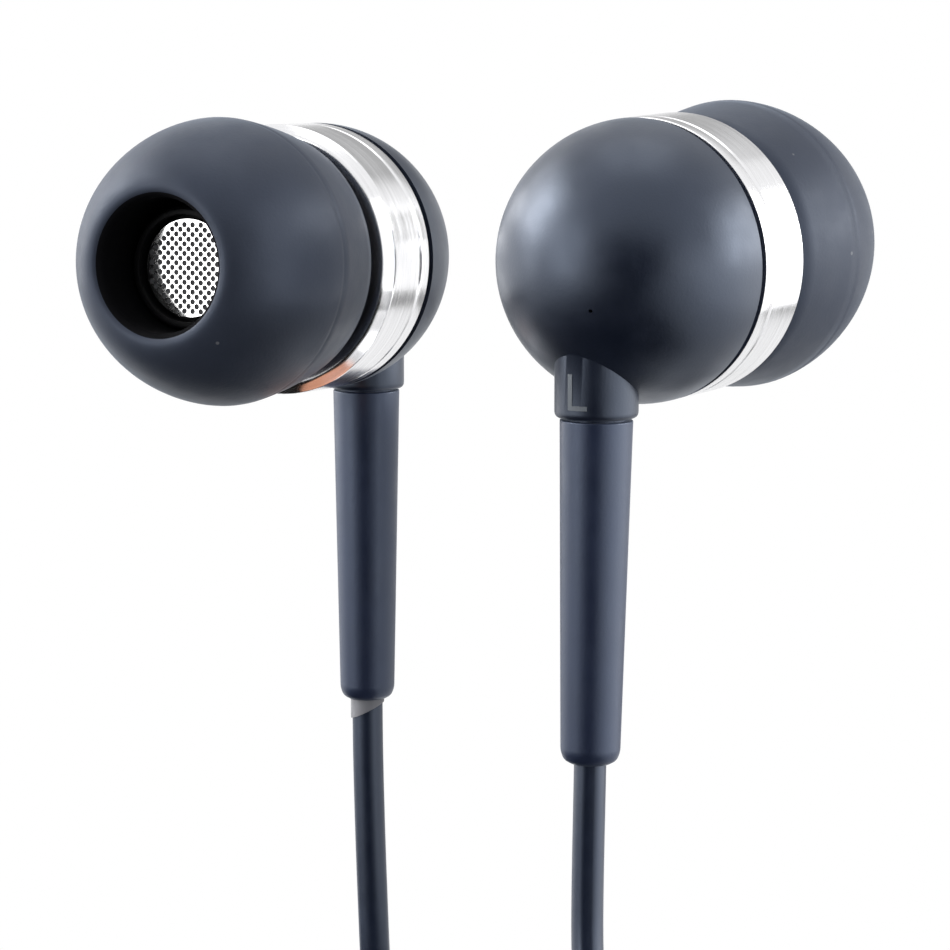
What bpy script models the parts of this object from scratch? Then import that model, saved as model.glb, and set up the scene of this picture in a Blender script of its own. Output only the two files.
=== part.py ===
"""Wired in-ear earphones: two earpieces with silicone tips, a tied coil of cord and a 3.5 mm plug.

Sizes are metres. The two earpieces stand upright, one turned towards the viewer (-Y) and one away.
The origin is midway between the two earpieces, at the height of their nozzles.
An earpiece's own frame has +X along its nozzle, +Z up and its origin at the back of its metal ring.
"""

import math

import bmesh
import bpy
import numpy as np
from mathutils import Vector

MM = 0.001
GAP = 0.3 * MM

# Where the earpieces stand: the back of each ring, the nozzle's heading and the stem's place in its frame.
EARPIECES = {
    "left": {
        "place": (7.15 * MM, -5.99 * MM, 0.36 * MM),
        "heading": 55.4,
        "stem": (-3.31 * MM, 0.11 * MM, 0),
        "tip_seat": 7.35 * MM,
        "relief_lean": 0.8,
    },
    "right": {
        "place": (-7.15 * MM, 5.99 * MM, -0.36 * MM),
        "heading": 242.0,
        "stem": (-4.0 * MM, 0.44 * MM, 0),
        "tip_seat": 7.95 * MM,
        "relief_lean": 0.0,
    },
}
NOZZLE_RISE = 2.0

# Rear shell and its collar.
BALL_RADIUS = 6.0 * MM
BALL_BEHIND_RING = 0.26 * MM
SHELL_WALL = 0.9 * MM
COLLAR_RADIUS = 1.75 * MM
COLLAR_TOP = -1.8 * MM
COLLAR_FOOT = -6.33 * MM
COLLAR_ROUND = 0.3 * MM
CORD_BORE = 0.98 * MM

# Metal trim ring.
RING_RADIUS = 6.0 * MM
RING_LENGTH = 3.1 * MM
RING_CHAMFER = 0.4 * MM
RING_BORE = 5.2 * MM
RING_LIP = 4.9 * MM
RING_LIP_LENGTH = 1.1 * MM
RING_GROOVE_AT = 0.85 * MM
RING_GROOVE_DEPTH = 0.12 * MM
RING_EDGE = 0.1 * MM

# Front housing with its nozzle, and the mesh in the nozzle.
PLATE_RADIUS = 4.6 * MM
PLATE_BACK = 2.55 * MM
PLATE_FRONT = 3.3 * MM
NOZZLE_RADIUS = 2.55 * MM
NOZZLE_BARB = 2.7 * MM
NOZZLE_BARB_LENGTH = 1.3 * MM
NOZZLE_BARB_RISE = 0.4 * MM
NOZZLE_ROUND = 0.3 * MM
NOZZLE_END = 10.85 * MM
NOZZLE_BORE = 1.8 * MM
MESH_SEAT = 2.3 * MM
MESH_RADIUS = 2.1 * MM
MESH_FRONT = 10.5 * MM
MESH_THICKNESS = 0.16 * MM

# Silicone ear tip, measured from its widest edge.
TIP_RADIUS = 6.25 * MM
TIP_SKIRT = 3.7 * MM
TIP_SKIRT_RADIUS = 5.55 * MM
TIP_SKIRT_MIDDLE = 5.98 * MM
TIP_NOSE = 5.08 * MM
TIP_NOSE_RADIUS = 3.35 * MM
TIP_DOME_POWER = 1.62
TIP_LIP = 0.1 * MM
TIP_BORE = 2.88 * MM
TIP_MOUTH = 3.08 * MM
TIP_MOUTH_DEPTH = 0.4 * MM
TIP_CORE_RADIUS = 3.7 * MM
TIP_CORE_END = 3.3 * MM
TIP_WALL = 0.75 * MM
TIP_HOLLOW_START = 1.8 * MM
TIP_HOLLOW_DEPTH = 2.8 * MM
TIP_HOLLOW_ROUND = 0.7 * MM

# Moving-coil driver inside the ring.
FRAME_RADIUS = 4.95 * MM
FRAME_BORE = 4.35 * MM
FRAME_FLANGE_BORE = 3.7 * MM
FRAME_BACK = 0.15 * MM
FRAME_FLANGE = 0.5 * MM
FRAME_FRONT = 2.15 * MM
YOKE_RADIUS = 3.42 * MM
YOKE_BORE = 2.58 * MM
YOKE_BACK = -1.6 * MM
YOKE_FLOOR = -0.95 * MM
YOKE_RIM = 0.7 * MM
MAGNET_RADIUS = 1.75 * MM
MAGNET_LENGTH = 0.9 * MM
POLE_THICKNESS = 0.45 * MM
COIL_TUBE_OUTER = 2.3 * MM
COIL_TUBE_INNER = 2.05 * MM
COIL_TUBE_BACK = 0.2 * MM
COIL_TUBE_FRONT = 1.15 * MM
DIAPHRAGM_RADIUS = 4.05 * MM
DIAPHRAGM_EDGE = 1.45 * MM
DIAPHRAGM_DOME = 0.4 * MM
DIAPHRAGM_THICKNESS = 0.18 * MM
BOARD_RADIUS = 2.5 * MM
BOARD_THICKNESS = 0.35 * MM
KNOT_RING = 0.55 * MM
KNOT_THICKNESS = 0.36 * MM
KNOT_PLACE = (-3.5 * MM, 0, -2.2 * MM)

# Strain relief under the collar.
RELIEF_TOP = -6.5 * MM
RELIEF_LENGTH = 14.4 * MM
RELIEF_TOP_RADIUS = 1.53 * MM
RELIEF_END_RADIUS = 1.26 * MM
RELIEF_ROUND = 0.45 * MM
RELIEF_EDGE = 0.08 * MM

# Cords: the pair to the ears and the main cord to the plug.
BRANCH_DIAMETER = 1.45 * MM
MAIN_DIAMETER = 1.8 * MM
FLOOR = -54.0 * MM
COIL_PLACE = (2.5 * MM, -3.0 * MM)
COIL_LIFT = 1.0 * MM
LOOP_GAP = 0.46 * MM
LOOP_POINTS = 24
MAIN_LAYERS = 4
BRANCH_LAYERS = 2
MAIN_MEAN_RADIUS = 10.5 * MM
BRANCH_MEAN_RADIUS = 8.5 * MM
MAIN_TURNS = 10.25
RIGHT_TURNS = 5.22
LEFT_TURNS = 4.69
MAIN_COIL_START = 90.0
COIL_LEAD = 1.2
LAYER_CLIMB = 0.5
ROUTE_STEP = 2.2
CORD_TOP = -3.7 * MM

# The free stretches, in millimetres from the middle of the coil's footprint on the floor.
# Each runs between ends that the pieces themselves give.
LEFT_RISE = [
    (-0.3, -11.1, 16.55),
    (1.6, -10.7, 17.1),
    (2.7, -9.0, 18.8),
    (2.6, -7.0, 21.5),
    (2.4, -5.8, 25.0),
    (2.4, -5.6, 28.5),
]
RIGHT_RISE = [
    (-2.3, 11.6, 12.75),
    (-4.7, 12.0, 13.6),
    (-6.3, 12.2, 15.6),
    (-6.95, 12.3, 18.6),
    (-7.17, 12.3, 23.0),
    (-7.32, 12.3, 28.0),
]
LEFT_TAIL = [
    (11.0, -6.0, 14.5),
    (12.2, -11.0, 13.0),
    (13.4, -16.0, 9.5),
    (13.4, -20.8, 5.8),
    (11.4, -24.7, 3.2),
    (7.8, -26.15, 2.4),
]
RIGHT_TAIL = [
    (10.9, -6.0, 10.75),
    (11.2, -10.5, 10.4),
    (11.5, -14.5, 8.2),
    (11.3, -18.6, 5.0),
    (10.0, -22.0, 3.0),
    (7.4, -23.85, 2.4),
]
MAIN_LINK = [
    (-13.8, -6.0, 8.5),
    (-15.0, -11.0, 7.4),
    (-16.3, -16.0, 5.4),
    (-16.8, -20.2, 3.6),
    (-15.6, -23.6, 2.6),
    (-13.0, -25.0, 2.4),
]
MAIN_TAIL = [
    (5.4, 13.5, 1.95),
    (8.2, 14.4, 2.3),
    (10.6, 16.1, 2.8),
    (13.0, 17.0, 3.1),
]

# Plug and splitter, lying on the floor beside the coil, from the middle of its footprint.
SPLITTER_PLACE = (-3.0 * MM, -25.0 * MM)
SPLITTER_LENGTH = 15.0 * MM
SPLITTER_RADIUS = 2.4 * MM
SPLITTER_END_RADIUS = 2.0 * MM
SPLITTER_ROUND = 0.5 * MM
BRANCH_SPREAD = 1.15 * MM
PLUG_PLACE = (15.2 * MM, 17.0 * MM)
PLUG_RELIEF_LENGTH = 9.0 * MM
PLUG_RELIEF_RADIUS = 1.5 * MM
PLUG_RELIEF_END_RADIUS = 2.3 * MM
PLUG_RIBS = 4
PLUG_RIB_SPACING = 1.5 * MM
PLUG_RIB_GROWTH = 0.16 * MM
PLUG_RIB_DEPTH = 0.3 * MM
PLUG_RIB_EDGE = 0.1 * MM
PLUG_BODY_LENGTH = 15.0 * MM
PLUG_BODY_RADIUS = 3.1 * MM
PLUG_BACK_ROUND = 0.5 * MM
PLUG_FRONT_ROUND = 0.3 * MM
PLUG_SOCKET_DEPTH = 1.5 * MM
JACK_RADIUS = 1.75 * MM
JACK_PIECES = (("sleeve", 7.8), ("insulator_back", 0.6), ("ring", 2.0), ("insulator_front", 0.6))
JACK_NOSE = ((0, 1.35), (0.9, 1.1), (2.2, 1.75), (3.4, 0.8), (4.0, 0.3))
TIE_WIDTH = 3.0 * MM
TIE_THICKNESS = 0.6 * MM
TIE_INNER = 4.6 * MM
TIE_OUTER = 14.8 * MM
TIE_UPPER_OUTER = 12.1 * MM
TIE_SHOULDER = 9.9 * MM
TIE_TOP = 17.8 * MM
TIE_HEADING = 40.0

TURN_STEPS = 32
SMALL_STEPS = 18

# Colour, roughness and metallic value of each finish.
FINISHES = {
    "charcoal_shell": ((0.035, 0.039, 0.052), 0.5, 0.0),
    "charcoal_silicone": ((0.038, 0.042, 0.055), 0.62, 0.0),
    "charcoal_rubber": ((0.034, 0.038, 0.050), 0.58, 0.0),
    "tie_rubber": ((0.020, 0.020, 0.022), 0.6, 0.0),
    "charcoal_cord": ((0.018, 0.020, 0.027), 0.5, 0.0),
    "polished_metal": ((0.88, 0.88, 0.90), 0.08, 1.0),
    "mesh_metal": ((0.80, 0.80, 0.80), 0.3, 1.0),
    "black_plastic": ((0.010, 0.010, 0.012), 0.4, 0.0),
    "driver_steel": ((0.55, 0.56, 0.58), 0.35, 1.0),
    "magnet_metal": ((0.45, 0.45, 0.47), 0.25, 1.0),
    "copper": ((0.72, 0.33, 0.16), 0.35, 1.0),
    "clear_film": ((0.75, 0.68, 0.52), 0.25, 0.0),
    "circuit_board": ((0.02, 0.16, 0.06), 0.5, 0.0),
    "plug_gold": ((0.85, 0.63, 0.26), 0.18, 1.0),
    "white_plastic": ((0.80, 0.80, 0.80), 0.4, 0.0),
}


def clear_scene():
    for thing in list(bpy.data.objects):
        bpy.data.objects.remove(thing, do_unlink=True)


def finish(name):
    """The named Principled material, made once."""
    made = bpy.data.materials.get(name)
    if made:
        return made
    colour, roughness, metallic = FINISHES[name]
    made = bpy.data.materials.new(name)
    made.use_nodes = True
    shader = made.node_tree.nodes["Principled BSDF"]
    shader.inputs["Base Color"].default_value = (*colour, 1.0)
    shader.inputs["Roughness"].default_value = roughness
    shader.inputs["Metallic"].default_value = metallic
    return made


def empty(name, parent=None, place=(0, 0, 0), turn=(0, 0, 0)):
    made = bpy.data.objects.new(name, None)
    bpy.context.collection.objects.link(made)
    made.parent = parent
    made.location = place
    made.rotation_euler = [math.radians(angle) for angle in turn]
    return made


def mesh_object(name, shape, look, parent):
    """Close a bmesh into a smooth-shaded object under its parent."""
    bmesh.ops.recalc_face_normals(shape, faces=shape.faces)
    mesh = bpy.data.meshes.new(name)
    shape.to_mesh(mesh)
    shape.free()
    mesh.shade_smooth()
    mesh.set_sharp_from_angle(angle=math.radians(35))
    mesh.materials.append(finish(look))
    made = bpy.data.objects.new(name, mesh)
    bpy.context.collection.objects.link(made)
    made.parent = parent
    return made


def turned(name, profile, look, parent=None, steps=TURN_STEPS, closed=True, along="X"):
    """Spin a profile of (distance along the axis, radius) points about the local X or Z axis.

    A closed profile stays clear of the axis. An open one starts and ends on it.
    """
    shape = bmesh.new()
    axis = Vector((1, 0, 0)) if along == "X" else Vector((0, 0, 1))
    out = Vector((0, 1, 0)) if along == "X" else Vector((1, 0, 0))
    points = [shape.verts.new(axis * run + out * radius) for run, radius in profile]
    edges = [shape.edges.new(pair) for pair in zip(points, points[1:])]
    if closed:
        edges.append(shape.edges.new((points[-1], points[0])))
    bmesh.ops.spin(shape, geom=points + edges, cent=(0, 0, 0), axis=axis, angle=math.tau, steps=steps,
                   use_merge=True)
    bmesh.ops.remove_doubles(shape, verts=shape.verts, dist=1e-7)
    bmesh.ops.dissolve_degenerate(shape, edges=shape.edges, dist=1e-7)
    return mesh_object(name, shape, look, parent)


def arc(centre, radius, start, end, count):
    """Profile points on a circle about (centre, 0), by angle from the negative axis."""
    angles = np.linspace(math.radians(start), math.radians(end), count)
    return [(centre - radius * math.cos(angle), radius * abs(math.sin(angle))) for angle in angles]


def boolean(target, other, operation):
    other.hide_render = True
    other.display_type = "WIRE"
    step = target.modifiers.new(operation.lower(), "BOOLEAN")
    step.operation = operation
    step.object = other


def rear_shell(name, earpiece, head, stem):
    """A hollow ball, open at the ring, with the collar that the cord comes out of."""
    rim = math.degrees(math.acos((GAP - BALL_BEHIND_RING) / BALL_RADIUS))
    outer = arc(-BALL_BEHIND_RING, BALL_RADIUS, 0, rim, 11)
    shell = turned(name, outer + [(-GAP, 0)], "charcoal_shell", head, closed=False)
    collar_profile = [
        (COLLAR_TOP, 0),
        (COLLAR_TOP, COLLAR_RADIUS),
        (COLLAR_FOOT + COLLAR_ROUND, COLLAR_RADIUS),
        (COLLAR_FOOT + COLLAR_ROUND / 4, COLLAR_RADIUS - COLLAR_ROUND / 4),
        (COLLAR_FOOT, COLLAR_RADIUS - COLLAR_ROUND),
        (COLLAR_FOOT, 0),
    ]
    collar = turned(name + "_collar_tool", collar_profile, "charcoal_shell", earpiece, SMALL_STEPS, False,
                    "Z")
    collar.location = stem
    inner = arc(-BALL_BEHIND_RING, BALL_RADIUS - SHELL_WALL, 0, 90, 7)
    cavity_profile = inner + [(RING_LENGTH, BALL_RADIUS - SHELL_WALL), (RING_LENGTH, 0)]
    cavity = turned(name + "_cavity_tool", cavity_profile, "charcoal_shell", head, TURN_STEPS, False)
    bore_profile = [(0, 0), (0, CORD_BORE), (2 * COLLAR_FOOT, CORD_BORE), (2 * COLLAR_FOOT, 0)]
    bore = turned(name + "_bore_tool", bore_profile, "charcoal_shell", earpiece, SMALL_STEPS, False, "Z")
    bore.location = stem
    boolean(shell, collar, "UNION")
    boolean(shell, cavity, "DIFFERENCE")
    boolean(shell, bore, "DIFFERENCE")


def trim_ring(name, head):
    face = RING_LENGTH + RING_CHAMFER
    profile = [
        (0, RING_BORE),
        (0, RING_RADIUS - RING_EDGE),
        (RING_EDGE, RING_RADIUS),
        (RING_GROOVE_AT - RING_EDGE, RING_RADIUS),
        (RING_GROOVE_AT, RING_RADIUS - RING_GROOVE_DEPTH),
        (RING_GROOVE_AT + RING_EDGE, RING_RADIUS),
        (RING_LENGTH, RING_RADIUS),
        (face, RING_RADIUS - RING_CHAMFER),
        (face, RING_LIP),
        (face - RING_LIP_LENGTH, RING_LIP),
        (face - RING_LIP_LENGTH, RING_BORE),
    ]
    turned(name, profile, "polished_metal", head)


def front_housing(name, head):
    """The plate that closes the ring, with the barbed nozzle that carries the tip."""
    seat = MESH_FRONT - MESH_THICKNESS - GAP
    barb = NOZZLE_END - NOZZLE_BARB_LENGTH
    profile = [
        (PLATE_BACK, NOZZLE_BORE),
        (PLATE_BACK, PLATE_RADIUS),
        (PLATE_FRONT, PLATE_RADIUS),
        (PLATE_FRONT, NOZZLE_RADIUS),
        (barb - NOZZLE_BARB_RISE, NOZZLE_RADIUS),
        (barb, NOZZLE_BARB),
        (NOZZLE_END - NOZZLE_ROUND, NOZZLE_BARB),
        (NOZZLE_END, NOZZLE_RADIUS),
        (NOZZLE_END, MESH_SEAT),
        (seat, MESH_SEAT),
        (seat, NOZZLE_BORE),
    ]
    turned(name, profile, "black_plastic", head, SMALL_STEPS)


def disc(name, back, front, radius, look, parent, steps=SMALL_STEPS):
    profile = [(back, 0), (back, radius), (front, radius), (front, 0)]
    return turned(name, profile, look, parent, steps, False)


def ear_tip(name, head, seat):
    """A silicone dome on a soft core, hollow behind and open through the middle."""
    power = TIP_DOME_POWER
    drop = TIP_RADIUS - TIP_NOSE_RADIUS
    shares = np.linspace(0.12, 0.97, 7)
    dome = [(TIP_NOSE * s, TIP_NOSE_RADIUS + drop * (1 - s**power) ** (1 / power)) for s in shares]
    profile = [
        (-TIP_SKIRT, TIP_SKIRT_RADIUS),
        (-TIP_SKIRT / 2, TIP_SKIRT_MIDDLE),
        (0, TIP_RADIUS),
        *dome,
        (TIP_NOSE, TIP_NOSE_RADIUS - TIP_LIP),
        (TIP_NOSE - TIP_LIP, TIP_MOUTH),
        (TIP_NOSE - TIP_MOUTH_DEPTH, TIP_BORE),
        (-TIP_CORE_END, TIP_BORE),
        (-TIP_CORE_END, TIP_CORE_RADIUS),
        (TIP_HOLLOW_START, TIP_CORE_RADIUS),
        (TIP_HOLLOW_DEPTH, TIP_CORE_RADIUS + TIP_HOLLOW_ROUND / 2),
        (TIP_HOLLOW_DEPTH - TIP_HOLLOW_ROUND, TIP_CORE_RADIUS + 1.5 * TIP_HOLLOW_ROUND),
        (0, TIP_RADIUS - TIP_WALL),
        (-TIP_SKIRT, TIP_SKIRT_RADIUS - TIP_WALL),
    ]
    turned(name, [(seat + run, radius) for run, radius in profile], "charcoal_silicone", head)


def driver(side_name, head):
    """Frame, magnet circuit, voice coil and diaphragm of the speaker behind the nozzle."""
    frame_profile = [
        (FRAME_BACK, FRAME_FLANGE_BORE),
        (FRAME_BACK, FRAME_RADIUS),
        (FRAME_FRONT, FRAME_RADIUS),
        (FRAME_FRONT, FRAME_BORE),
        (FRAME_BACK + FRAME_FLANGE, FRAME_BORE),
        (FRAME_BACK + FRAME_FLANGE, FRAME_FLANGE_BORE),
    ]
    turned(side_name + "_driver_frame", frame_profile, "black_plastic", head, SMALL_STEPS)
    yoke_profile = [
        (YOKE_BACK, 0),
        (YOKE_BACK, YOKE_RADIUS),
        (YOKE_RIM, YOKE_RADIUS),
        (YOKE_RIM, YOKE_BORE),
        (YOKE_FLOOR, YOKE_BORE),
        (YOKE_FLOOR, 0),
    ]
    turned(side_name + "_driver_yoke", yoke_profile, "driver_steel", head, SMALL_STEPS, False)
    magnet_back = YOKE_FLOOR + GAP
    pole_back = magnet_back + MAGNET_LENGTH + GAP
    magnet_front = magnet_back + MAGNET_LENGTH
    pole_front = pole_back + POLE_THICKNESS
    disc(side_name + "_driver_magnet", magnet_back, magnet_front, MAGNET_RADIUS, "magnet_metal", head)
    disc(side_name + "_pole_plate", pole_back, pole_front, MAGNET_RADIUS, "driver_steel", head)
    coil_profile = [
        (COIL_TUBE_BACK, COIL_TUBE_INNER),
        (COIL_TUBE_BACK, COIL_TUBE_OUTER),
        (COIL_TUBE_FRONT, COIL_TUBE_OUTER),
        (COIL_TUBE_FRONT, COIL_TUBE_INNER),
    ]
    turned(side_name + "_voice_coil", coil_profile, "copper", head, SMALL_STEPS)
    film = [
        (DIAPHRAGM_EDGE + DIAPHRAGM_DOME, 0),
        (DIAPHRAGM_EDGE + 0.8 * DIAPHRAGM_DOME, 0.5 * DIAPHRAGM_RADIUS),
        (DIAPHRAGM_EDGE, 0.85 * DIAPHRAGM_RADIUS),
        (DIAPHRAGM_EDGE, DIAPHRAGM_RADIUS),
    ]
    front = [(run + DIAPHRAGM_THICKNESS, radius) for run, radius in film]
    turned(side_name + "_diaphragm", film + front[::-1], "clear_film", head, SMALL_STEPS, False)
    board_front = YOKE_BACK - GAP
    board_back = board_front - BOARD_THICKNESS
    disc(side_name + "_terminal_board", board_back, board_front, BOARD_RADIUS, "circuit_board", head)


def cord_knot(name, earpiece):
    """The knot that keeps the cord from being pulled out of the shell."""
    angles = np.linspace(0, math.tau, 6, endpoint=False)
    profile = [(KNOT_THICKNESS * math.sin(a), KNOT_RING + KNOT_THICKNESS * math.cos(a)) for a in angles]
    knot = turned(name, profile, "charcoal_cord", earpiece, 12, True, "Z")
    knot.location = KNOT_PLACE


def strain_relief(name, place, lean):
    """A tapered sleeve under the collar. Its foot leans a little towards -X."""
    profile = [
        (0, CORD_BORE),
        (0, RELIEF_TOP_RADIUS - RELIEF_EDGE),
        (-RELIEF_EDGE, RELIEF_TOP_RADIUS),
        (RELIEF_ROUND - RELIEF_LENGTH, RELIEF_END_RADIUS),
        (RELIEF_ROUND / 4 - RELIEF_LENGTH, RELIEF_END_RADIUS - RELIEF_ROUND / 4),
        (-RELIEF_LENGTH, RELIEF_END_RADIUS - RELIEF_ROUND / 2),
        (-RELIEF_LENGTH, CORD_BORE),
    ]
    relief = turned(name, profile, "charcoal_rubber", None, SMALL_STEPS, True, "Z")
    relief.location = place
    relief.rotation_euler = (0, math.radians(lean), 0)
    bpy.context.view_layer.update()
    return relief.matrix_world @ Vector((0, 0, -RELIEF_LENGTH))


def smooth_route(points, spacing):
    """Points at an even spacing on a smooth curve through the route's points."""
    route = np.array(points)
    ends = np.vstack([2 * route[0] - route[1], route, 2 * route[-1] - route[-2]])
    shares = np.linspace(0, 1, 16, endpoint=False)[:, None]
    fine = []
    for before, start, stop, after in zip(ends, ends[1:], ends[2:], ends[3:]):
        lead = (stop - before) / 2
        trail = (after - start) / 2
        bend = 2 * start - 2 * stop + lead + trail
        sway = 3 * stop - 3 * start - 2 * lead - trail
        fine.append(start + lead * shares + sway * shares**2 + bend * shares**3)
    curve = np.vstack(fine + [route[-1:]])
    run = np.concatenate([[0], np.cumsum(np.linalg.norm(np.diff(curve, axis=0), axis=1))])
    places = np.linspace(0, run[-1], max(3, round(run[-1] / spacing) + 1))
    return np.stack([np.interp(places, run, curve[:, k]) for k in range(3)], axis=1)


def tube(name, points, diameter, look, sides=2):
    """A round cord along the points, with flat closed ends."""
    data = bpy.data.curves.new(name, "CURVE")
    data.dimensions = "3D"
    data.bevel_depth = diameter / 2
    data.bevel_resolution = sides
    data.use_fill_caps = True
    spline = data.splines.new("POLY")
    spline.points.add(len(points) - 1)
    for slot, place in zip(spline.points, points):
        slot.co = (*place, 1)
    data.materials.append(finish(look))
    made = bpy.data.objects.new(name, data)
    bpy.context.collection.objects.link(made)
    return made


def coil_points(start_angle, turns, layers, mean_radius, diameter, base):
    """Loops that spiral in and out again, climbing a layer in the half turn where they reverse."""
    pitch = diameter + LOOP_GAP
    per_layer = turns / layers
    outer = mean_radius + pitch * per_layer / 2
    count = round(turns * LOOP_POINTS)
    places = []
    for index in range(count + 1):
        turn = turns * index / count
        layer = min(int(turn / per_layer), layers - 1)
        within = turn - layer * per_layer
        inward = within if layer % 2 == 0 else per_layer - within
        level = sum(np.clip((turn - k * per_layer) / LAYER_CLIMB + 0.5, 0, 1) for k in range(1, layers))
        height = base + pitch * level
        angle = math.radians(start_angle) + math.tau * turn
        radius = outer - pitch * inward
        places.append((radius * math.cos(angle), radius * math.sin(angle), height))
    places = np.array(places)
    lead = places[0] - places[1]
    trail = places[-1] - places[-2]
    lead[2] = trail[2] = 0
    first = places[0] + COIL_LEAD * diameter * lead / np.linalg.norm(lead)
    last = places[-1] + COIL_LEAD * diameter * trail / np.linalg.norm(trail)
    return np.vstack([first, places, last])


def least_gap(points, diameter):
    """The least clear distance between a tube and its own other loops."""
    fine = np.vstack([a + (b - a) * s for a, b in zip(points, points[1:]) for s in (0, 0.25, 0.5, 0.75)])
    skip = 2 * LOOP_POINTS
    least = min(np.linalg.norm(fine[k + skip:] - fine[k], axis=1).min() for k in range(len(fine) - skip))
    return least - diameter


def length_of(points):
    return float(np.linalg.norm(np.diff(np.array(points), axis=0), axis=1).sum())


def beyond(points, at_end, distance):
    """The point a short way past one end of a tube, in line with it."""
    tip, inner = (points[-1], points[-2]) if at_end else (points[0], points[1])
    return tip + (tip - inner) / np.linalg.norm(tip - inner) * distance


def lathe_piece(name, profile, look, place):
    made = turned(name, profile, look, None, SMALL_STEPS, profile[0][1] > 0)
    made.location = place
    return made


def plug(axis_place):
    """A straight 3.5 mm plug: ribbed relief, body with a socket, and the contacts with their insulators."""
    profile = [(0, 0), (0, PLUG_RELIEF_RADIUS)]
    for step in range(1, PLUG_RIBS + 1):
        run = step * PLUG_RIB_SPACING
        crest = PLUG_RELIEF_RADIUS + PLUG_RIB_GROWTH * step
        groove = crest - PLUG_RIB_DEPTH
        profile += [(run, crest), (run + PLUG_RIB_EDGE, groove), (run + PLUG_RIB_SPACING / 3, groove)]
    profile += [(PLUG_RELIEF_LENGTH, PLUG_RELIEF_END_RADIUS), (PLUG_RELIEF_LENGTH, 0)]
    lathe_piece("plug_relief", profile, "charcoal_rubber", axis_place)
    back = PLUG_RELIEF_LENGTH + GAP
    front = back + PLUG_BODY_LENGTH
    body = [
        (back, 0),
        (back, PLUG_BODY_RADIUS - PLUG_BACK_ROUND),
        (back + PLUG_BACK_ROUND, PLUG_BODY_RADIUS),
        (front - PLUG_FRONT_ROUND, PLUG_BODY_RADIUS),
        (front, PLUG_BODY_RADIUS - PLUG_FRONT_ROUND),
        (front, JACK_RADIUS + GAP),
        (front - PLUG_SOCKET_DEPTH, JACK_RADIUS + GAP),
        (front - PLUG_SOCKET_DEPTH, 0),
    ]
    lathe_piece("plug_body", body, "charcoal_rubber", axis_place)
    run = front - PLUG_SOCKET_DEPTH + GAP
    for piece, length in JACK_PIECES:
        look = "white_plastic" if piece.startswith("insulator") else "plug_gold"
        profile = [(run, 0), (run, JACK_RADIUS), (run + length * MM, JACK_RADIUS), (run + length * MM, 0)]
        lathe_piece("plug_" + piece, profile, look, axis_place)
        run += length * MM + GAP / 3
    nose = [(run, 0)]
    nose += [(run + along * MM, radius * MM) for along, radius in JACK_NOSE]
    nose += [(nose[-1][0], 0)]
    lathe_piece("plug_tip", nose, "plug_gold", axis_place)


def splitter(axis_place):
    """The moulded piece where the pair of cords joins the main cord, its main end towards -X."""
    half = SPLITTER_LENGTH / 2
    profile = [
        (-half, 0),
        (-half, SPLITTER_END_RADIUS - SPLITTER_ROUND),
        (-half + SPLITTER_ROUND, SPLITTER_END_RADIUS),
        (half - SPLITTER_ROUND, SPLITTER_RADIUS),
        (half, SPLITTER_RADIUS - SPLITTER_ROUND),
        (half, 0),
    ]
    lathe_piece("cord_splitter", profile, "charcoal_rubber", axis_place)


def tie():
    """A band round the whole bundle of loops, drawn in over the smaller loops, standing on the floor."""
    shape = bmesh.new()
    inside = [
        (TIE_INNER, TIE_THICKNESS),
        (TIE_OUTER, TIE_THICKNESS),
        (TIE_OUTER, TIE_SHOULDER),
        (TIE_UPPER_OUTER, TIE_SHOULDER + TIE_OUTER - TIE_UPPER_OUTER),
        (TIE_UPPER_OUTER, TIE_TOP),
        (TIE_INNER, TIE_TOP),
    ]
    outside = [
        (TIE_INNER - TIE_THICKNESS, 0),
        (TIE_OUTER + TIE_THICKNESS, 0),
        (TIE_OUTER + TIE_THICKNESS, TIE_SHOULDER + TIE_THICKNESS / 2),
        (TIE_UPPER_OUTER + TIE_THICKNESS, TIE_SHOULDER + TIE_OUTER - TIE_UPPER_OUTER + TIE_THICKNESS / 2),
        (TIE_UPPER_OUTER + TIE_THICKNESS, TIE_TOP + TIE_THICKNESS),
        (TIE_INNER - TIE_THICKNESS, TIE_TOP + TIE_THICKNESS),
    ]
    loops = []
    for across in (-TIE_WIDTH / 2, TIE_WIDTH / 2):
        for outline in (outside, inside):
            loops.append([shape.verts.new((run, across, height)) for run, height in outline])
    near_out, near_in, far_out, far_in = loops
    corners = len(inside)
    for first, second in ((near_out, far_out), (near_in, far_in), (near_out, near_in), (far_out, far_in)):
        for k in range(corners):
            n = (k + 1) % corners
            shape.faces.new((first[k], first[n], second[n], second[k]))
    band = mesh_object("cord_tie", shape, "tie_rubber", None)
    band.location = (*COIL_PLACE, FLOOR)
    band.rotation_euler = (0, 0, math.radians(TIE_HEADING))


def earpiece_set(side_name, spec):
    """All the pieces of one earpiece. Returns the points that its cord starts through."""
    earpiece = empty(side_name + "_earpiece", None, spec["place"], (0, 0, spec["heading"]))
    head = empty(side_name + "_head", earpiece, (0, 0, 0), (0, -NOZZLE_RISE, 0))
    rear_shell(side_name + "_rear_shell", earpiece, head, spec["stem"])
    trim_ring(side_name + "_trim_ring", head)
    front_housing(side_name + "_front_housing", head)
    mesh_back = MESH_FRONT - MESH_THICKNESS
    disc(side_name + "_nozzle_mesh", mesh_back, MESH_FRONT, MESH_RADIUS, "mesh_metal", head)
    ear_tip(side_name + "_ear_tip", head, spec["tip_seat"])
    driver(side_name, head)
    cord_knot(side_name + "_cord_knot", earpiece)
    bpy.context.view_layer.update()
    stem = earpiece.matrix_world @ Vector(spec["stem"])
    relief_top = stem + Vector((0, 0, RELIEF_TOP))
    relief_foot = strain_relief(side_name + "_strain_relief", relief_top, spec["relief_lean"])
    return [stem + Vector((0, 0, CORD_TOP)), relief_top, relief_foot]


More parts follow.
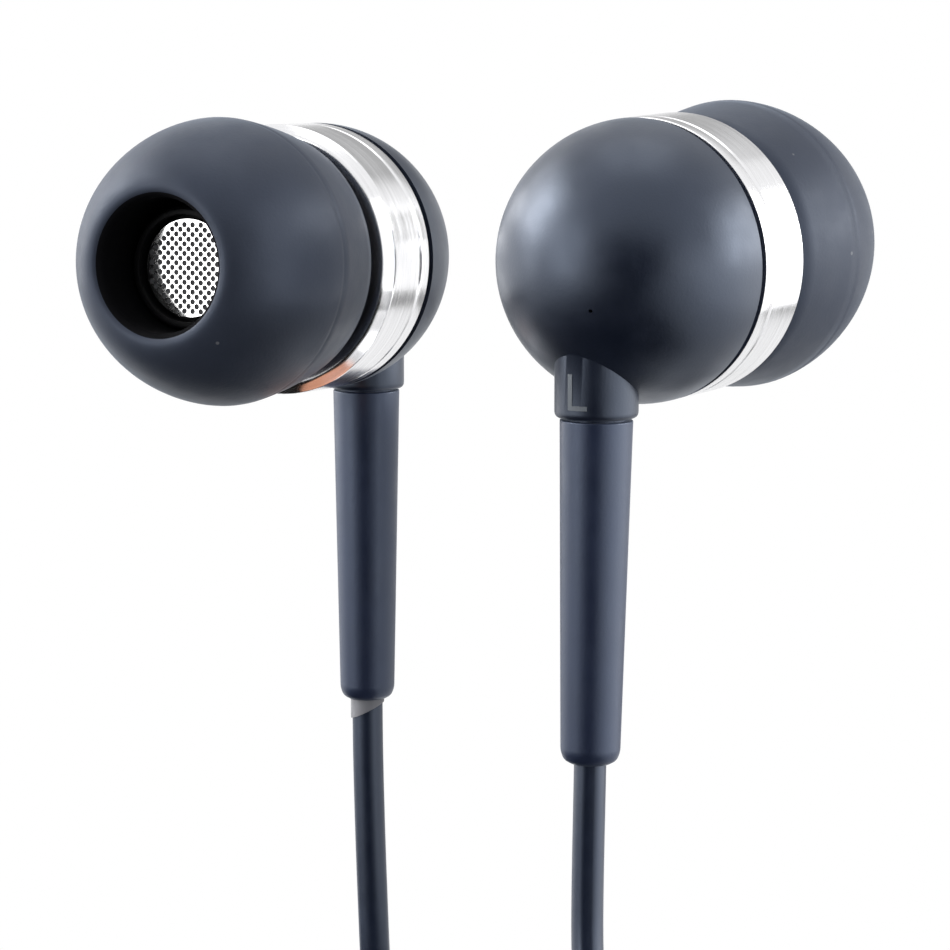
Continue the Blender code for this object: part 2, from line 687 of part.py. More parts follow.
def wind_coils():
    """The main cord's loops with the right and then the left branch wound on top of them."""
    main_pitch = MAIN_DIAMETER + LOOP_GAP
    branch_pitch = BRANCH_DIAMETER + LOOP_GAP
    main_base = COIL_LIFT + MAIN_DIAMETER / 2
    step_up = (MAIN_DIAMETER + BRANCH_DIAMETER) / 2 + LOOP_GAP
    right_base = main_base + main_pitch * (MAIN_LAYERS - 1) + step_up
    left_base = right_base + branch_pitch * BRANCH_LAYERS
    plans = {
        "main": (MAIN_COIL_START, MAIN_TURNS, MAIN_LAYERS, MAIN_MEAN_RADIUS, MAIN_DIAMETER, main_base),
        "right": (0, RIGHT_TURNS, BRANCH_LAYERS, BRANCH_MEAN_RADIUS, BRANCH_DIAMETER, right_base),
        "left": (0, LEFT_TURNS, BRANCH_LAYERS, BRANCH_MEAN_RADIUS, BRANCH_DIAMETER, left_base),
    }
    coils = {}
    for cord, plan in plans.items():
        coils[cord] = coil_points(*plan) + np.array((*COIL_PLACE, FLOOR))
        diameter = plan[4]
        tube(cord + "_cord_coil", coils[cord], diameter, "charcoal_cord", 1)
        print(cord, "coil: least gap", round(least_gap(coils[cord], diameter) / MM, 3), "mm")
    return coils


def lay(name, start, route, end, diameter):
    """A free stretch of cord from one end, over the floor route, to the other end."""
    middle = np.array(route) * MM + np.array((*COIL_PLACE, FLOOR))
    points = smooth_route(np.vstack([start, middle, end]), ROUTE_STEP * diameter)
    tube(name, points, diameter, "charcoal_cord")
    print(name, "length", round(length_of(points) / MM, 1), "mm")


def cords(starts):
    """Wind the coils, then lay the free stretches between coils, splitter, plug and earpieces."""
    coils = wind_coils()
    floor = Vector((*COIL_PLACE, FLOOR))
    split = floor + Vector((*SPLITTER_PLACE, SPLITTER_RADIUS))
    plug_end = floor + Vector((*PLUG_PLACE, PLUG_BODY_RADIUS))
    half = Vector((SPLITTER_LENGTH / 2 + GAP, 0, 0))
    spread = Vector((0, BRANCH_SPREAD, 0))
    rises = {"left": LEFT_RISE, "right": RIGHT_RISE}
    tails = {"left": (LEFT_TAIL, split + half - spread), "right": (RIGHT_TAIL, split + half + spread)}
    for cord in ("left", "right"):
        coil = coils[cord]
        route, mouth = tails[cord]
        lay(cord + "_cord_rise", beyond(coil, True, GAP), rises[cord], starts[cord][::-1], BRANCH_DIAMETER)
        lay(cord + "_cord_tail", beyond(coil, False, GAP), route, mouth, BRANCH_DIAMETER)
    main = coils["main"]
    lay("main_cord_link", beyond(main, True, GAP), MAIN_LINK, split - half, MAIN_DIAMETER)
    lay("main_cord_tail", beyond(main, False, GAP), MAIN_TAIL, plug_end - Vector((GAP, 0, 0)), MAIN_DIAMETER)
    splitter(split)
    plug(plug_end)


def main():
    clear_scene()
    starts = {side_name: earpiece_set(side_name, spec) for side_name, spec in EARPIECES.items()}
    cords(starts)
    tie()


main()
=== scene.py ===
"""The looks of a pair of wired in-ear earphones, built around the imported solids.

Sizes are metres and turns are degrees. An earpiece's own frame has +X along its nozzle, +Z up and its
origin at the back of its ring.
"""

import math

import bmesh
import bpy
import numpy as np
from mathutils import Matrix, Vector


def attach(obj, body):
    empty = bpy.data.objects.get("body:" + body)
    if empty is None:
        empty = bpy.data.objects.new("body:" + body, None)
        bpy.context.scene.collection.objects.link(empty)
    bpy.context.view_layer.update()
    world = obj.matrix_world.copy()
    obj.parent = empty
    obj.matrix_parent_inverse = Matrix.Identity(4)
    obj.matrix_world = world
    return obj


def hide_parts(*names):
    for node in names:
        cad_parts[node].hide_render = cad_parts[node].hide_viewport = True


MM = 0.001
GAP = 0.3 * MM
ROOT = "earphones"


def mm(*values):
    """Some sizes in millimetres, as metres."""
    return tuple(value * MM for value in values)


# Where the earpieces stand, as in the part's source. Their noses rise a little. The right ear's tip sits
# askew in the photograph, so here its head rises less than its tip.
EARPIECES = {
    "left": {
        "place": mm(7.15, -5.99, 0.36),
        "heading": 55.4,
        "stem": mm(-3.31, 0.11, 0),
        "tip_seat": 7.35 * MM,
        "relief_lean": 0.8,
        "rise": 2.0,
        "mark": "L",
    },
    "right": {
        "place": mm(-7.15, 5.99, -0.36),
        "heading": 242.0,
        "stem": mm(-4.0, 0.44, 0),
        "tip_seat": 7.95 * MM,
        "relief_lean": 0.0,
        "rise": 1.0,
        "mark": "R",
    },
}
TIP_RISE = 2.0

# The photograph's camera.
CAMERA_PLACE = mm(0.147, -160.949, 11.951)
CAMERA_TILT = 82.4
CAMERA_LENS = 140.2
CAMERA_SENSOR = 36.0
CAMERA_CLIP = (5 * MM, 20.0)

# Steps round a shape.
FINE_STEPS = 128
SMALL_STEPS = 64
BORE_STEPS = 32
VENT_STEPS = 16
HOLE_STEPS = 12

# How near the axis a point is on it, and the most of a side that a rounding takes.
ON_AXIS = 1e-9
CORNER_REACH = 0.48

# Rear shell.
BALL_RADIUS = 6.0 * MM
BALL_POINTS = 49
CAVITY_POINTS = 25
BALL_BEHIND_RING = 0.26 * MM
SHELL_WALL = 0.9 * MM
COLLAR_RADIUS = 1.75 * MM
COLLAR_TOP = -1.8 * MM
COLLAR_FOOT = -6.33 * MM
COLLAR_ROUND = 0.3 * MM
CORD_BORE = 0.98 * MM
VENT_RADIUS = 0.09 * MM
VENT_DEPTH = 0.35 * MM
VENT_TOWARDS = (-0.947, 0.207, -0.242)

# Metal ring.
RING_RADIUS = 6.0 * MM
RING_LENGTH = 3.1 * MM
RING_CHAMFER = 0.4 * MM
RING_BORE = 5.2 * MM
RING_LIP = 4.9 * MM
RING_LIP_LENGTH = 1.1 * MM
RING_GROOVE_AT = 0.85 * MM
RING_GROOVE_DEPTH = 0.07 * MM
RING_SEAM = 0.05 * MM
RING_EDGE = 0.1 * MM
RING_GROOVE_ROUND = 0.04 * MM
RING_SIDE_ROUND = 0.06 * MM
RING_FACE_ROUND = 0.12 * MM
RING_LIP_ROUND = 0.05 * MM

# Front housing, nozzle and mesh.
PLATE_RADIUS = 4.6 * MM
PLATE_BACK = 2.55 * MM
PLATE_FRONT = 3.3 * MM
HOUSING_EDGE = 0.08 * MM
NOZZLE_RADIUS = 2.55 * MM
NOZZLE_BARB = 2.7 * MM
NOZZLE_BARB_LENGTH = 1.3 * MM
NOZZLE_BARB_RISE = 0.4 * MM
NOZZLE_ROUND = 0.3 * MM
NOZZLE_END = 10.85 * MM
NOZZLE_BORE = 1.8 * MM
MESH_SEAT = 2.3 * MM
MESH_RADIUS = 2.1 * MM
MESH_FRONT = 10.5 * MM
MESH_THICKNESS = 0.16 * MM
MESH_PITCH = 0.29 * MM
MESH_HOLE_RADIUS = 0.125 * MM
MESH_HOLE_DEPTH = 0.05 * MM
MESH_HOLE_MARGIN = 1.1
MESH_TURN = 45.0

# Silicone tip, measured from its widest edge.
TIP_RADIUS = 6.25 * MM
TIP_SKIRT = 3.7 * MM
TIP_SKIRT_RADIUS = 5.55 * MM
TIP_SKIRT_MIDDLE = 5.98 * MM
TIP_NOSE = 5.08 * MM
TIP_NOSE_RADIUS = 3.35 * MM
TIP_DOME_POWER = 1.62
TIP_BORE = 2.88 * MM
TIP_MOUTH_DEPTH = 0.4 * MM
TIP_CORE_RADIUS = 3.7 * MM
TIP_CORE_END = 3.3 * MM
TIP_WALL = 0.75 * MM
TIP_HOLLOW_START = 1.8 * MM
TIP_HOLLOW_DEPTH = 2.8 * MM
TIP_HOLLOW_ROUND = 0.7 * MM
# Faces of the tip nearer its axis than this are painted near-black: painted shade for the inside of the mouth
# and bore.
TIP_SHADE_EDGE = 3.12 * MM
TIP_CREASE_WIDTH = 0.07 * MM
TIP_CREASE_DEPTH = 0.035 * MM
TIP_BORE_ROUND = 0.12 * MM
TIP_CORE_ROUND = 0.2 * MM
TIP_EDGE_ROUND = 0.3 * MM
TIP_WALL_ROUND = 0.6 * MM
TIP_DOME_POINTS = 34
TIP_LIP_POINTS = 12
TIP_SKIRT_POINTS = 9

# Strain relief.
RELIEF_TOP = -6.5 * MM
RELIEF_RISE = 0.1 * MM
RELIEF_NECK = 1.3 * MM
RELIEF_LENGTH = 14.4 * MM
RELIEF_TOP_RADIUS = 1.53 * MM
RELIEF_END_RADIUS = 1.26 * MM
RELIEF_ROUND = 0.5 * MM
RELIEF_EDGE = 0.08 * MM
RELIEF_MOUTH = 0.79 * MM
RELIEF_FOOT_UP = 0.3 * RELIEF_ROUND
RELIEF_FOOT_IN = 0.27 * RELIEF_ROUND
RELIEF_END_IN = 0.8 * RELIEF_ROUND

# Channel marks, the sleeve under the right relief, and the knots.
MARK_HEIGHT = 1.6 * MM
CAP_SHARE = 0.73
MARK_RISE = 0.02 * MM
MARK_FACET = 0.12 * MM
MARK_FOOT = -5.88 * MM
MARK_TURN = 3.0
SLEEVE_TUCK = 0.4 * MM
SLEEVE_LENGTH = 0.56 * MM
SLEEVE_SLANT = 0.5
SLEEVE_BORE = 0.7 * MM
SLEEVE_RADIUS = 0.78 * MM
KNOT_SIZE = 0.2 * MM
KNOT_CORD = 0.24 * MM
KNOT_PLACE = mm(-3.5, 0, -2.2)
KNOT_POINTS = 73
KNOT_SIDES = 10

# Cords, repeated from the part's source.
BRANCH_DIAMETER = 1.45 * MM
MAIN_DIAMETER = 1.8 * MM
FLOOR = -54.0 * MM
COIL_PLACE = mm(2.5, -3.0)
COIL_LIFT = 1.0 * MM
LOOP_GAP = 0.46 * MM
LOOP_POINTS = 48
MAIN_LAYERS = 4
BRANCH_LAYERS = 2
MAIN_MEAN_RADIUS = 10.5 * MM
BRANCH_MEAN_RADIUS = 8.5 * MM
MAIN_TURNS = 10.25
RIGHT_TURNS = 5.22
LEFT_TURNS = 4.69
MAIN_COIL_START = 90.0
COIL_LEAD = 1.2
LAYER_CLIMB = 0.5
CORD_TOP = -3.7 * MM
CORD_STEP = 0.5 * MM
CORD_OVAL = (0.94, 1.04)
CORD_SIDES = 28
CORD_GROOVE_WIDTH = 0.035
BRANCH_GROOVE = 0.07
MAIN_GROOVE = 0.05
ROUTE_STEPS = 16
LEFT_RISE = [
    (-0.3, -11.1, 16.55),
    (1.6, -10.7, 17.1),
    (2.7, -9.0, 18.8),
    (2.6, -7.0, 21.5),
    (2.4, -5.8, 25.0),
    (2.4, -5.6, 28.5),
]
RIGHT_RISE = [
    (-2.3, 11.6, 12.75),
    (-4.7, 12.0, 13.6),
    (-6.3, 12.2, 15.6),
    (-6.95, 12.3, 18.6),
    (-7.17, 12.3, 23.0),
    (-7.32, 12.3, 28.0),
]
LEFT_TAIL = [
    (11.0, -6.0, 14.5),
    (12.2, -11.0, 13.0),
    (13.4, -16.0, 9.5),
    (13.4, -20.8, 5.8),
    (11.4, -24.7, 3.2),
    (7.8, -26.15, 2.4),
]
RIGHT_TAIL = [
    (10.9, -6.0, 10.75),
    (11.2, -10.5, 10.4),
    (11.5, -14.5, 8.2),
    (11.3, -18.6, 5.0),
    (10.0, -22.0, 3.0),
    (7.4, -23.85, 2.4),
]
MAIN_LINK = [
    (-13.8, -6.0, 8.5),
    (-15.0, -11.0, 7.4),
    (-16.3, -16.0, 5.4),
    (-16.8, -20.2, 3.6),
    (-15.6, -23.6, 2.6),
    (-13.0, -25.0, 2.4),
]
MAIN_TAIL = [
    (5.4, 13.5, 1.95),
    (8.2, 14.4, 2.3),
    (10.6, 16.1, 2.8),
    (13.0, 17.0, 3.1),
]

# Splitter, plug and tie.
SPLITTER_PLACE = mm(-3.0, -25.0)
SPLITTER_LENGTH = 15.0 * MM
SPLITTER_RADIUS = 2.4 * MM
SPLITTER_END_RADIUS = 2.0 * MM
SPLITTER_ROUND = 0.5 * MM
SPLITTER_GROOVES = mm(-5.9, -4.9, 4.9, 5.9)
BRANCH_SPREAD = 1.15 * MM
PLUG_PLACE = mm(15.2, 17.0)
PLUG_RELIEF_LENGTH = 9.0 * MM
PLUG_RELIEF_RADIUS = 1.5 * MM
PLUG_RELIEF_END_RADIUS = 2.3 * MM
PLUG_RIBS = 4
PLUG_RIB_SPACING = 1.5 * MM
PLUG_RIB_GROWTH = 0.16 * MM
PLUG_RIB_DEPTH = 0.3 * MM
PLUG_RIB_EDGE = 0.1 * MM
PLUG_RIB_ROUND = 0.08 * MM
PLUG_GROOVE_ROUND = 0.04 * MM
PLUG_RELIEF_BACK_ROUND = 0.15 * MM
PLUG_RELIEF_FRONT_ROUND = 0.1 * MM
PLUG_BODY_LENGTH = 15.0 * MM
PLUG_BODY_RADIUS = 3.1 * MM
PLUG_BACK_ROUND = 0.5 * MM
PLUG_FRONT_ROUND = 0.3 * MM
PLUG_SOCKET_DEPTH = 1.5 * MM
PLUG_GROOVES = mm(2.0, 3.0, 4.0, 12.9)
GROOVE_WIDTH = 0.45 * MM
GROOVE_DEPTH = 0.14 * MM
JACK_RADIUS = 1.75 * MM
JACK_EDGE = 0.05 * MM
JACK_NOSE_ROUND = 0.25 * MM
JACK_PIECES = (("sleeve", 7.8), ("insulator_back", 0.6), ("ring", 2.0), ("insulator_front", 0.6))
JACK_NOSE = ((0, 1.35), (0.9, 1.1), (2.2, 1.75), (3.4, 0.8), (4.0, 0.3))
TIE_WIDTH = 3.0 * MM
TIE_THICKNESS = 0.6 * MM
TIE_INNER = 4.6 * MM
TIE_OUTER = 14.8 * MM
TIE_UPPER_OUTER = 12.1 * MM
TIE_SHOULDER = 9.9 * MM
TIE_TOP = 17.8 * MM
TIE_HEADING = 40.0
TIE_CORNER = 1.2 * MM
TIE_EDGE = 0.15 * MM

# Studio.
WHITE = (1.0, 1.0, 1.0)
FILL_COLOUR = (0.95, 0.97, 1.0)
FILL_STRENGTH = 0.3
FLOOR_COLOUR = (0.88, 0.88, 0.88)
FLOOR_BOUNCE = (0.22, 0.22, 0.23)
FLOOR_RADIUS = 4.0
FLOOR_SEGMENTS = 96
FLOOR_DROP = 0.05 * MM
FLOOR_FADE = mm(45, 85)
CARD_HEIGHT = FLOOR + 0.2 * MM
BETWEEN_EARS = mm(-4.2, -5.0, 1.5)
WARM = (1.0, 0.47, 0.29)


def link(made):
    bpy.context.scene.collection.objects.link(made)
    return made


# Materials.


COOL_TINT = {
    "Specular_Tint": (0.69, 0.80, 1.0, 1.0),
    "Sheen_Weight": 0.2,
    "Sheen_Roughness": 0.35,
    "Sheen_Tint": (0.72, 0.84, 1.0, 1.0),
}
COOL_GLOSS = {"Specular_IOR_Level": 0.95, **COOL_TINT}
SOFT_GLOSS = {"Specular_IOR_Level": 0.36, **COOL_TINT}
DULL = {"Specular_IOR_Level": 0.1}
MOTTLING = 420.0
GLOSS_CLOUDS = 900.0
DUST_SCALE = 800.0
DUST_SIZE = 0.075
DUST_COLOUR = (0.32, 0.32, 0.33)
TURNED_LINES = (1.0, 0.02, 0.02)


class Tree:
    """Short calls for the nodes of a material or a world."""

    def __init__(self, owner, unwanted=None):
        owner.use_nodes = True
        self.nodes = owner.node_tree.nodes
        self.links = owner.node_tree.links
        if unwanted:
            self.nodes.remove(self.nodes[unwanted])

    def node(self, kind, **values):
        made = self.nodes.new(kind)
        self.fill(made, values)
        return made

    def fill(self, made, values):
        """Set a node's values. A name with a capital is an input, any other is a setting."""
        for name, value in values.items():
            if name[0].islower():
                setattr(made, name, value)
            else:
                made.inputs[name.replace("_", " ")].default_value = value

    def join(self, source, target):
        self.links.new(source, target)

    def work(self, operation, first, second):
        """One value worked out from two."""
        made = self.node("ShaderNodeMath", operation=operation)
        self.join(first, made.inputs[0])
        self.join(second, made.inputs[1])
        return made.outputs["Value"]

    def spread(self, value, low=0.0, high=1.0, start=0.3, stop=0.7):
        """Map a value's usual range to another range."""
        made = self.node("ShaderNodeMapRange", From_Min=start, From_Max=stop, To_Min=low, To_Max=high)
        self.join(value, made.inputs["Value"])
        return made.outputs["Result"]

    def plain(self, kind, colour, **values):
        """A shader of one colour."""
        return self.node(kind, Color=(*colour, 1.0), **values).outputs[0]

    def blend(self, share, first, second):
        """A shader that goes from the first to the second as the share grows."""
        made = self.node("ShaderNodeMixShader")
        for source, target in zip((share, first, second), made.inputs):
            self.join(source, target)
        return made.outputs["Shader"]

    def show(self, shader, output="Material Output"):
        self.join(shader, self.nodes[output].inputs["Surface"])


class Surface(Tree):
    """A Principled material with short calls for the nodes that give it detail."""

    def __init__(self, name, roughness, metallic=0.0, **values):
        self.material = bpy.data.materials.new(name)
        super().__init__(self.material)
        self.shader = self.nodes["Principled BSDF"]
        self.fill(self.shader, {"Roughness": roughness, "Metallic": metallic, **values})
        self.place = self.node("ShaderNodeTexCoord").outputs["Object"]
        self.relief = None

    def noise(self, scale, detail=3.0, stretch=None):
        """A noise value over the surface, stretched along the object's axes where asked."""
        made = self.node("ShaderNodeTexNoise", Scale=scale, Detail=detail)
        place = self.place
        if stretch:
            mapping = self.node("ShaderNodeMapping", Scale=stretch)
            self.join(place, mapping.inputs["Vector"])
            place = mapping.outputs["Vector"]
        self.join(place, made.inputs["Vector"])
        return made.outputs["Fac"]

    def mix(self, share, first, second):
        """Mix two colours, each a triple or a socket."""
        made = self.node("ShaderNodeMix", data_type="RGBA")
        self.join(share, made.inputs[0])
        for socket, colour in ((made.inputs[6], first), (made.inputs[7], second)):
            if isinstance(colour, tuple):
                socket.default_value = (*colour, 1.0)
            else:
                self.join(colour, socket)
        return made.outputs[2]

    def colour(self, value):
        self.join(value, self.shader.inputs["Base Color"])

    def roughness(self, value):
        self.join(value, self.shader.inputs["Roughness"])

    def bump(self, height, distance, strength=1.0):
        made = self.node("ShaderNodeBump", Distance=distance, Strength=strength)
        self.join(height, made.inputs["Height"])
        if self.relief:
            self.join(self.relief, made.inputs["Normal"])
        self.relief = made.outputs["Normal"]
        self.join(self.relief, self.shader.inputs["Normal"])

    def specks(self, scale, size):
        """A mask of small dots, in about a third of a cell pattern's cells."""
        made = self.node("ShaderNodeTexVoronoi", Scale=scale)
        self.join(self.place, made.inputs["Vector"])
        dots = self.spread(made.outputs["Distance"], 1.0, 0.0, size * 0.6, size)
        chosen = self.spread(made.outputs["Color"], 0.0, 1.0, 0.66, 0.68)
        return self.work("MULTIPLY", dots, chosen)


def shade(colour, share):
    return tuple(channel * share for channel in colour)


def moulded(name, colour, roughness, grain=9000.0, depth=0.004 * MM, variation=0.10, dust=0.0, **values):
    """Moulded plastic or rubber: faint mottling, a fine grain and a little dust."""
    made = Surface(name, roughness, **values)
    clouds = made.spread(made.noise(MOTTLING, 4.0))
    tone = made.mix(clouds, shade(colour, 1 - variation), shade(colour, 1 + variation))
    rough = made.spread(made.noise(GLOSS_CLOUDS), roughness - 0.04, roughness + 0.05)
    if dust:
        specks = made.specks(DUST_SCALE, DUST_SIZE)
        faint = made.spread(specks, 0.0, dust, 0.0, 1.0)
        tone = made.mix(faint, tone, DUST_COLOUR)
    made.colour(tone)
    made.roughness(rough)
    made.bump(made.noise(grain, 2.0), depth)
    return made.material


def metal(name, colour, roughness, lines=(1.0, 1.0, 1.0), scale=6000.0, depth=0.0006 * MM, variation=0.05):
    """Metal with a fine grain, drawn out to lines along the axes whose share is small."""
    made = Surface(name, roughness, 1.0)
    tone = made.spread(made.noise(scale / 4, 3.0, lines))
    made.colour(made.mix(tone, shade(colour, 1 - variation), shade(colour, 1 + variation / 2)))
    made.roughness(made.spread(made.noise(scale / 2, 3.0, lines), roughness * 0.75, roughness * 1.3))
    made.bump(made.noise(scale, 2.0, lines), depth)
    return made.material


def turned_metal(name, colour, roughness):
    """Metal turned about its own X axis, whose fine rings spread reflections along that axis."""
    made = Surface(name, roughness, 1.0, Anisotropic=0.7, Anisotropic_Rotation=0.25)
    tone = made.spread(made.noise(9000.0, 3.0, TURNED_LINES))
    made.colour(made.mix(tone, shade(colour, 0.9), shade(colour, 1.03)))
    made.roughness(made.spread(made.noise(5000.0, 3.0, TURNED_LINES), roughness * 0.8, roughness * 1.2))
    round_axis = made.node("ShaderNodeTangent", direction_type="RADIAL", axis="X")
    made.join(round_axis.outputs["Tangent"], made.shader.inputs["Tangent"])
    return made.material


def cord_jacket():
    """Satin cord jacket, faintly mottled."""
    made = Surface("cord_jacket", 0.36, Coat_Weight=0.12, Coat_Roughness=0.3, **COOL_GLOSS)
    colour = (0.008, 0.013, 0.031)
    clouds = made.spread(made.noise(500.0))
    made.colour(made.mix(clouds, shade(colour, 0.88), shade(colour, 1.1)))
    made.roughness(made.spread(made.noise(1500.0, 2.0), 0.32, 0.40))
    made.bump(made.noise(5000.0, 2.0), 0.002 * MM)
    return made.material


LOOKS = {
    "shell": moulded("soft_touch_shell", (0.005, 0.008, 0.020), 0.37, **COOL_GLOSS),
    "silicone": moulded(
        "matte_silicone", (0.042, 0.050, 0.073), 0.46, 7000.0, 0.005 * MM, 0.08, dust=0.5, **SOFT_GLOSS
    ),
    # Painted shade: a near-black look that stands in for the shadow inside the tip's mouth and bore.
    "core": moulded("black_core", (0.002, 0.002, 0.003), 0.8, **DULL),
    "relief": moulded("matte_elastomer", (0.013, 0.020, 0.051), 0.40, 8000.0, **COOL_GLOSS),
    "cord": cord_jacket(),
    "ring": turned_metal("polished_ring", (0.88, 0.88, 0.895), 0.2),
    "mesh": metal("steel_mesh", (0.88, 0.88, 0.88), 0.1, scale=60000.0, depth=0.0001 * MM),
    "cloth": moulded("damping_cloth", (0.15, 0.15, 0.155), 0.8, **DULL),
    "black": moulded("black_plastic", (0.006, 0.006, 0.007), 0.5, **DULL),
    "steel": metal("plated_steel", (0.56, 0.57, 0.59), 0.34),
    "magnet": metal("plated_magnet", (0.46, 0.46, 0.48), 0.26),
    "copper": metal("enamelled_copper", (0.72, 0.33, 0.16), 0.34, (1.0, 0.05, 0.05), 12000.0, 0.004 * MM),
    "film": moulded("clear_film", (0.75, 0.68, 0.52), 0.25, 3000.0, 0.003 * MM),
    "board": moulded("solder_mask", (0.020, 0.16, 0.060), 0.45),
    "gold": metal("gold_plating", (0.85, 0.63, 0.26), 0.17, (1.0, 0.03, 0.03), 8000.0),
    "insulator": moulded("white_insulator", (0.72, 0.72, 0.70), 0.4),
    "tie": moulded("band_rubber", (0.020, 0.020, 0.023), 0.6, 5000.0, 0.012 * MM),
    "mark": moulded("pale_mark", (0.17, 0.19, 0.215), 0.5),
    "paste": moulded("pale_sleeve", (0.28, 0.28, 0.30), 0.5),
}
INNER_LOOKS = {
    "driver_frame": "black",
    "driver_yoke": "steel",
    "driver_magnet": "magnet",
    "pole_plate": "steel",
    "voice_coil": "copper",
    "diaphragm": "film",
    "terminal_board": "board",
}


# Shapes.


def piece(name, mesh, look, replaced=(), matrix=None, body=ROOT):
    """A shown piece with its material, riding on its body and standing for its CAD nodes."""
    mesh.materials.clear()
    mesh.materials.append(LOOKS[look])
    made = link(bpy.data.objects.new(name, mesh))
    if matrix is not None:
        made.matrix_world = matrix
    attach(made, body)
    if replaced:
        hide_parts(*replaced)
    return made


def smooth(mesh, angle=38.0):
    """Outward faces and smooth shading, with sharp edges kept."""
    shape = bmesh.new()
    shape.from_mesh(mesh)
    bmesh.ops.recalc_face_normals(shape, faces=shape.faces)
    shape.to_mesh(mesh)
    shape.free()
    mesh.shade_smooth()
    mesh.set_sharp_from_angle(angle=math.radians(angle))
    return mesh


def weighted(made):
    """Weight the normals by area, which keeps flat faces flat beside rounded edges."""
    step = made.modifiers.new("normals", "WEIGHTED_NORMAL")
    step.keep_sharp = True
    return made


def rounded(points, steps=5):
    """A profile with soft corners. Each point is (run, radius, size of its rounding)."""
    made = []
    for k, (run, radius, size) in enumerate(points):
        here = np.array((run, radius))
        if size <= 0:
            made.append((run, radius))
            continue
        before = np.array(points[k - 1][:2]) - here
        after = np.array(points[(k + 1) % len(points)][:2]) - here
        reach = min(size, CORNER_REACH * np.linalg.norm(before), CORNER_REACH * np.linalg.norm(after))
        start = here + before / np.linalg.norm(before) * reach
        stop = here + after / np.linalg.norm(after) * reach
        for share in np.linspace(0, 1, steps):
            point = start * (1 - share) ** 2 + here * 2 * share * (1 - share) + stop * share**2
            made.append(tuple(point))
    return made


def lathe(name, profile, steps=FINE_STEPS, closed=True, along="X"):
    """A mesh spun from (run, radius) points about the local X or Z axis. An open profile ends on the axis."""
    angles = np.linspace(0, math.tau, steps, endpoint=False)
    places = []
    rings = []
    for run, radius in profile:
        if radius < ON_AXIS:
            rings.append([len(places)])
            places.append((run, 0.0, 0.0))
        else:
            rings.append(list(range(len(places), len(places) + steps)))
            places += [(run, radius * math.cos(a), radius * math.sin(a)) for a in angles]
    if along == "Z":
        places = [(across, up, run) for run, across, up in places]
    faces = []
    pairs = list(zip(rings, rings[1:]))
    if closed:
        pairs.append((rings[-1], rings[0]))
    for first, second in pairs:
        for k in range(steps):
            places_round = (k, (k + 1) % steps)
            corners = [first[n % len(first)] for n in places_round]
            corners += [second[n % len(second)] for n in places_round[::-1]]
            faces.append(list(dict.fromkeys(corners)))
    mesh = bpy.data.meshes.new(name)
    mesh.from_pydata(places, [], [face for face in faces if len(face) > 2])
    return smooth(mesh)


def arc(centre, radius, start, end, count):
    """Points of an arc, with its angles from the back."""
    angles = np.linspace(math.radians(start), math.radians(end), count)
    return [(centre - radius * math.cos(a), radius * abs(math.sin(a))) for a in angles]


def carve(name, mesh, tools):
    """The mesh after boolean steps, each an operation, a tool mesh and the tool's place."""
    base = link(bpy.data.objects.new(name, mesh))
    helpers = []
    for operation, tool_mesh, matrix in tools:
        tool = link(bpy.data.objects.new(name + "_tool", tool_mesh))
        tool.matrix_world = matrix
        step = base.modifiers.new("cut", "BOOLEAN")
        step.operation = operation
        step.object = tool
        step.solver = "EXACT"
        helpers.append(tool)
    graph = bpy.context.evaluated_depsgraph_get()
    made = bpy.data.meshes.new_from_object(base.evaluated_get(graph))
    for used in [base, *helpers]:
        bpy.data.objects.remove(used)
    made.name = name
    return smooth(made)


def turn_about(axis, angle):
    return Matrix.Rotation(math.radians(angle), 4, axis)


def earpiece_matrix(side):
    spec = EARPIECES[side]
    return Matrix.Translation(spec["place"]) @ turn_about("Z", spec["heading"])


def head_matrix(side):
    return earpiece_matrix(side) @ turn_about("Y", -EARPIECES[side]["rise"])


def tip_matrix(side):
    return earpiece_matrix(side) @ turn_about("Y", -TIP_RISE)


def stem_place(side):
    return Vector(EARPIECES[side]["stem"])


def cord_start(side):
    """The points where an ear's cord starts: in the shell, at the relief's top and at its foot."""
    stem = earpiece_matrix(side) @ stem_place(side)
    top = stem + Vector((0, 0, RELIEF_TOP))
    lean = Matrix.Rotation(math.radians(EARPIECES[side]["relief_lean"]), 3, "Y")
    return [stem + Vector((0, 0, CORD_TOP)), top, top + lean @ Vector((0, 0, -RELIEF_LENGTH))]


# Camera and cords come first.


def photo_camera():
    data = bpy.data.cameras.new("photo_camera")
    data.sensor_width = CAMERA_SENSOR
    data.lens = CAMERA_LENS
    data.clip_start, data.clip_end = CAMERA_CLIP
    made = link(bpy.data.objects.new("photo_camera", data))
    made.location = CAMERA_PLACE
    made.rotation_euler = (math.radians(CAMERA_TILT), 0, 0)
    bpy.context.scene.camera = made


def even(points, spacing):
    """The same line with its points at an even spacing."""
    run = np.concatenate([[0], np.cumsum(np.linalg.norm(np.diff(points, axis=0), axis=1))])
    places = np.linspace(0, run[-1], max(3, round(run[-1] / spacing) + 1))
    return np.stack([np.interp(places, run, points[:, k]) for k in range(3)], axis=1)


def smooth_route(points, spacing):
    """Points at an even spacing on a smooth curve through the route's points."""
    route = np.array(points)
    ends = np.vstack([2 * route[0] - route[1], route, 2 * route[-1] - route[-2]])
    shares = np.linspace(0, 1, ROUTE_STEPS, endpoint=False)[:, None]
    fine = []
    for before, start, stop, after in zip(ends, ends[1:], ends[2:], ends[3:]):
        lead = (stop - before) / 2
        trail = (after - start) / 2
        bend = 2 * start - 2 * stop + lead + trail
        sway = 3 * stop - 3 * start - 2 * lead - trail
        fine.append(start + lead * shares + sway * shares**2 + bend * shares**3)
    return even(np.vstack(fine + [route[-1:]]), spacing)


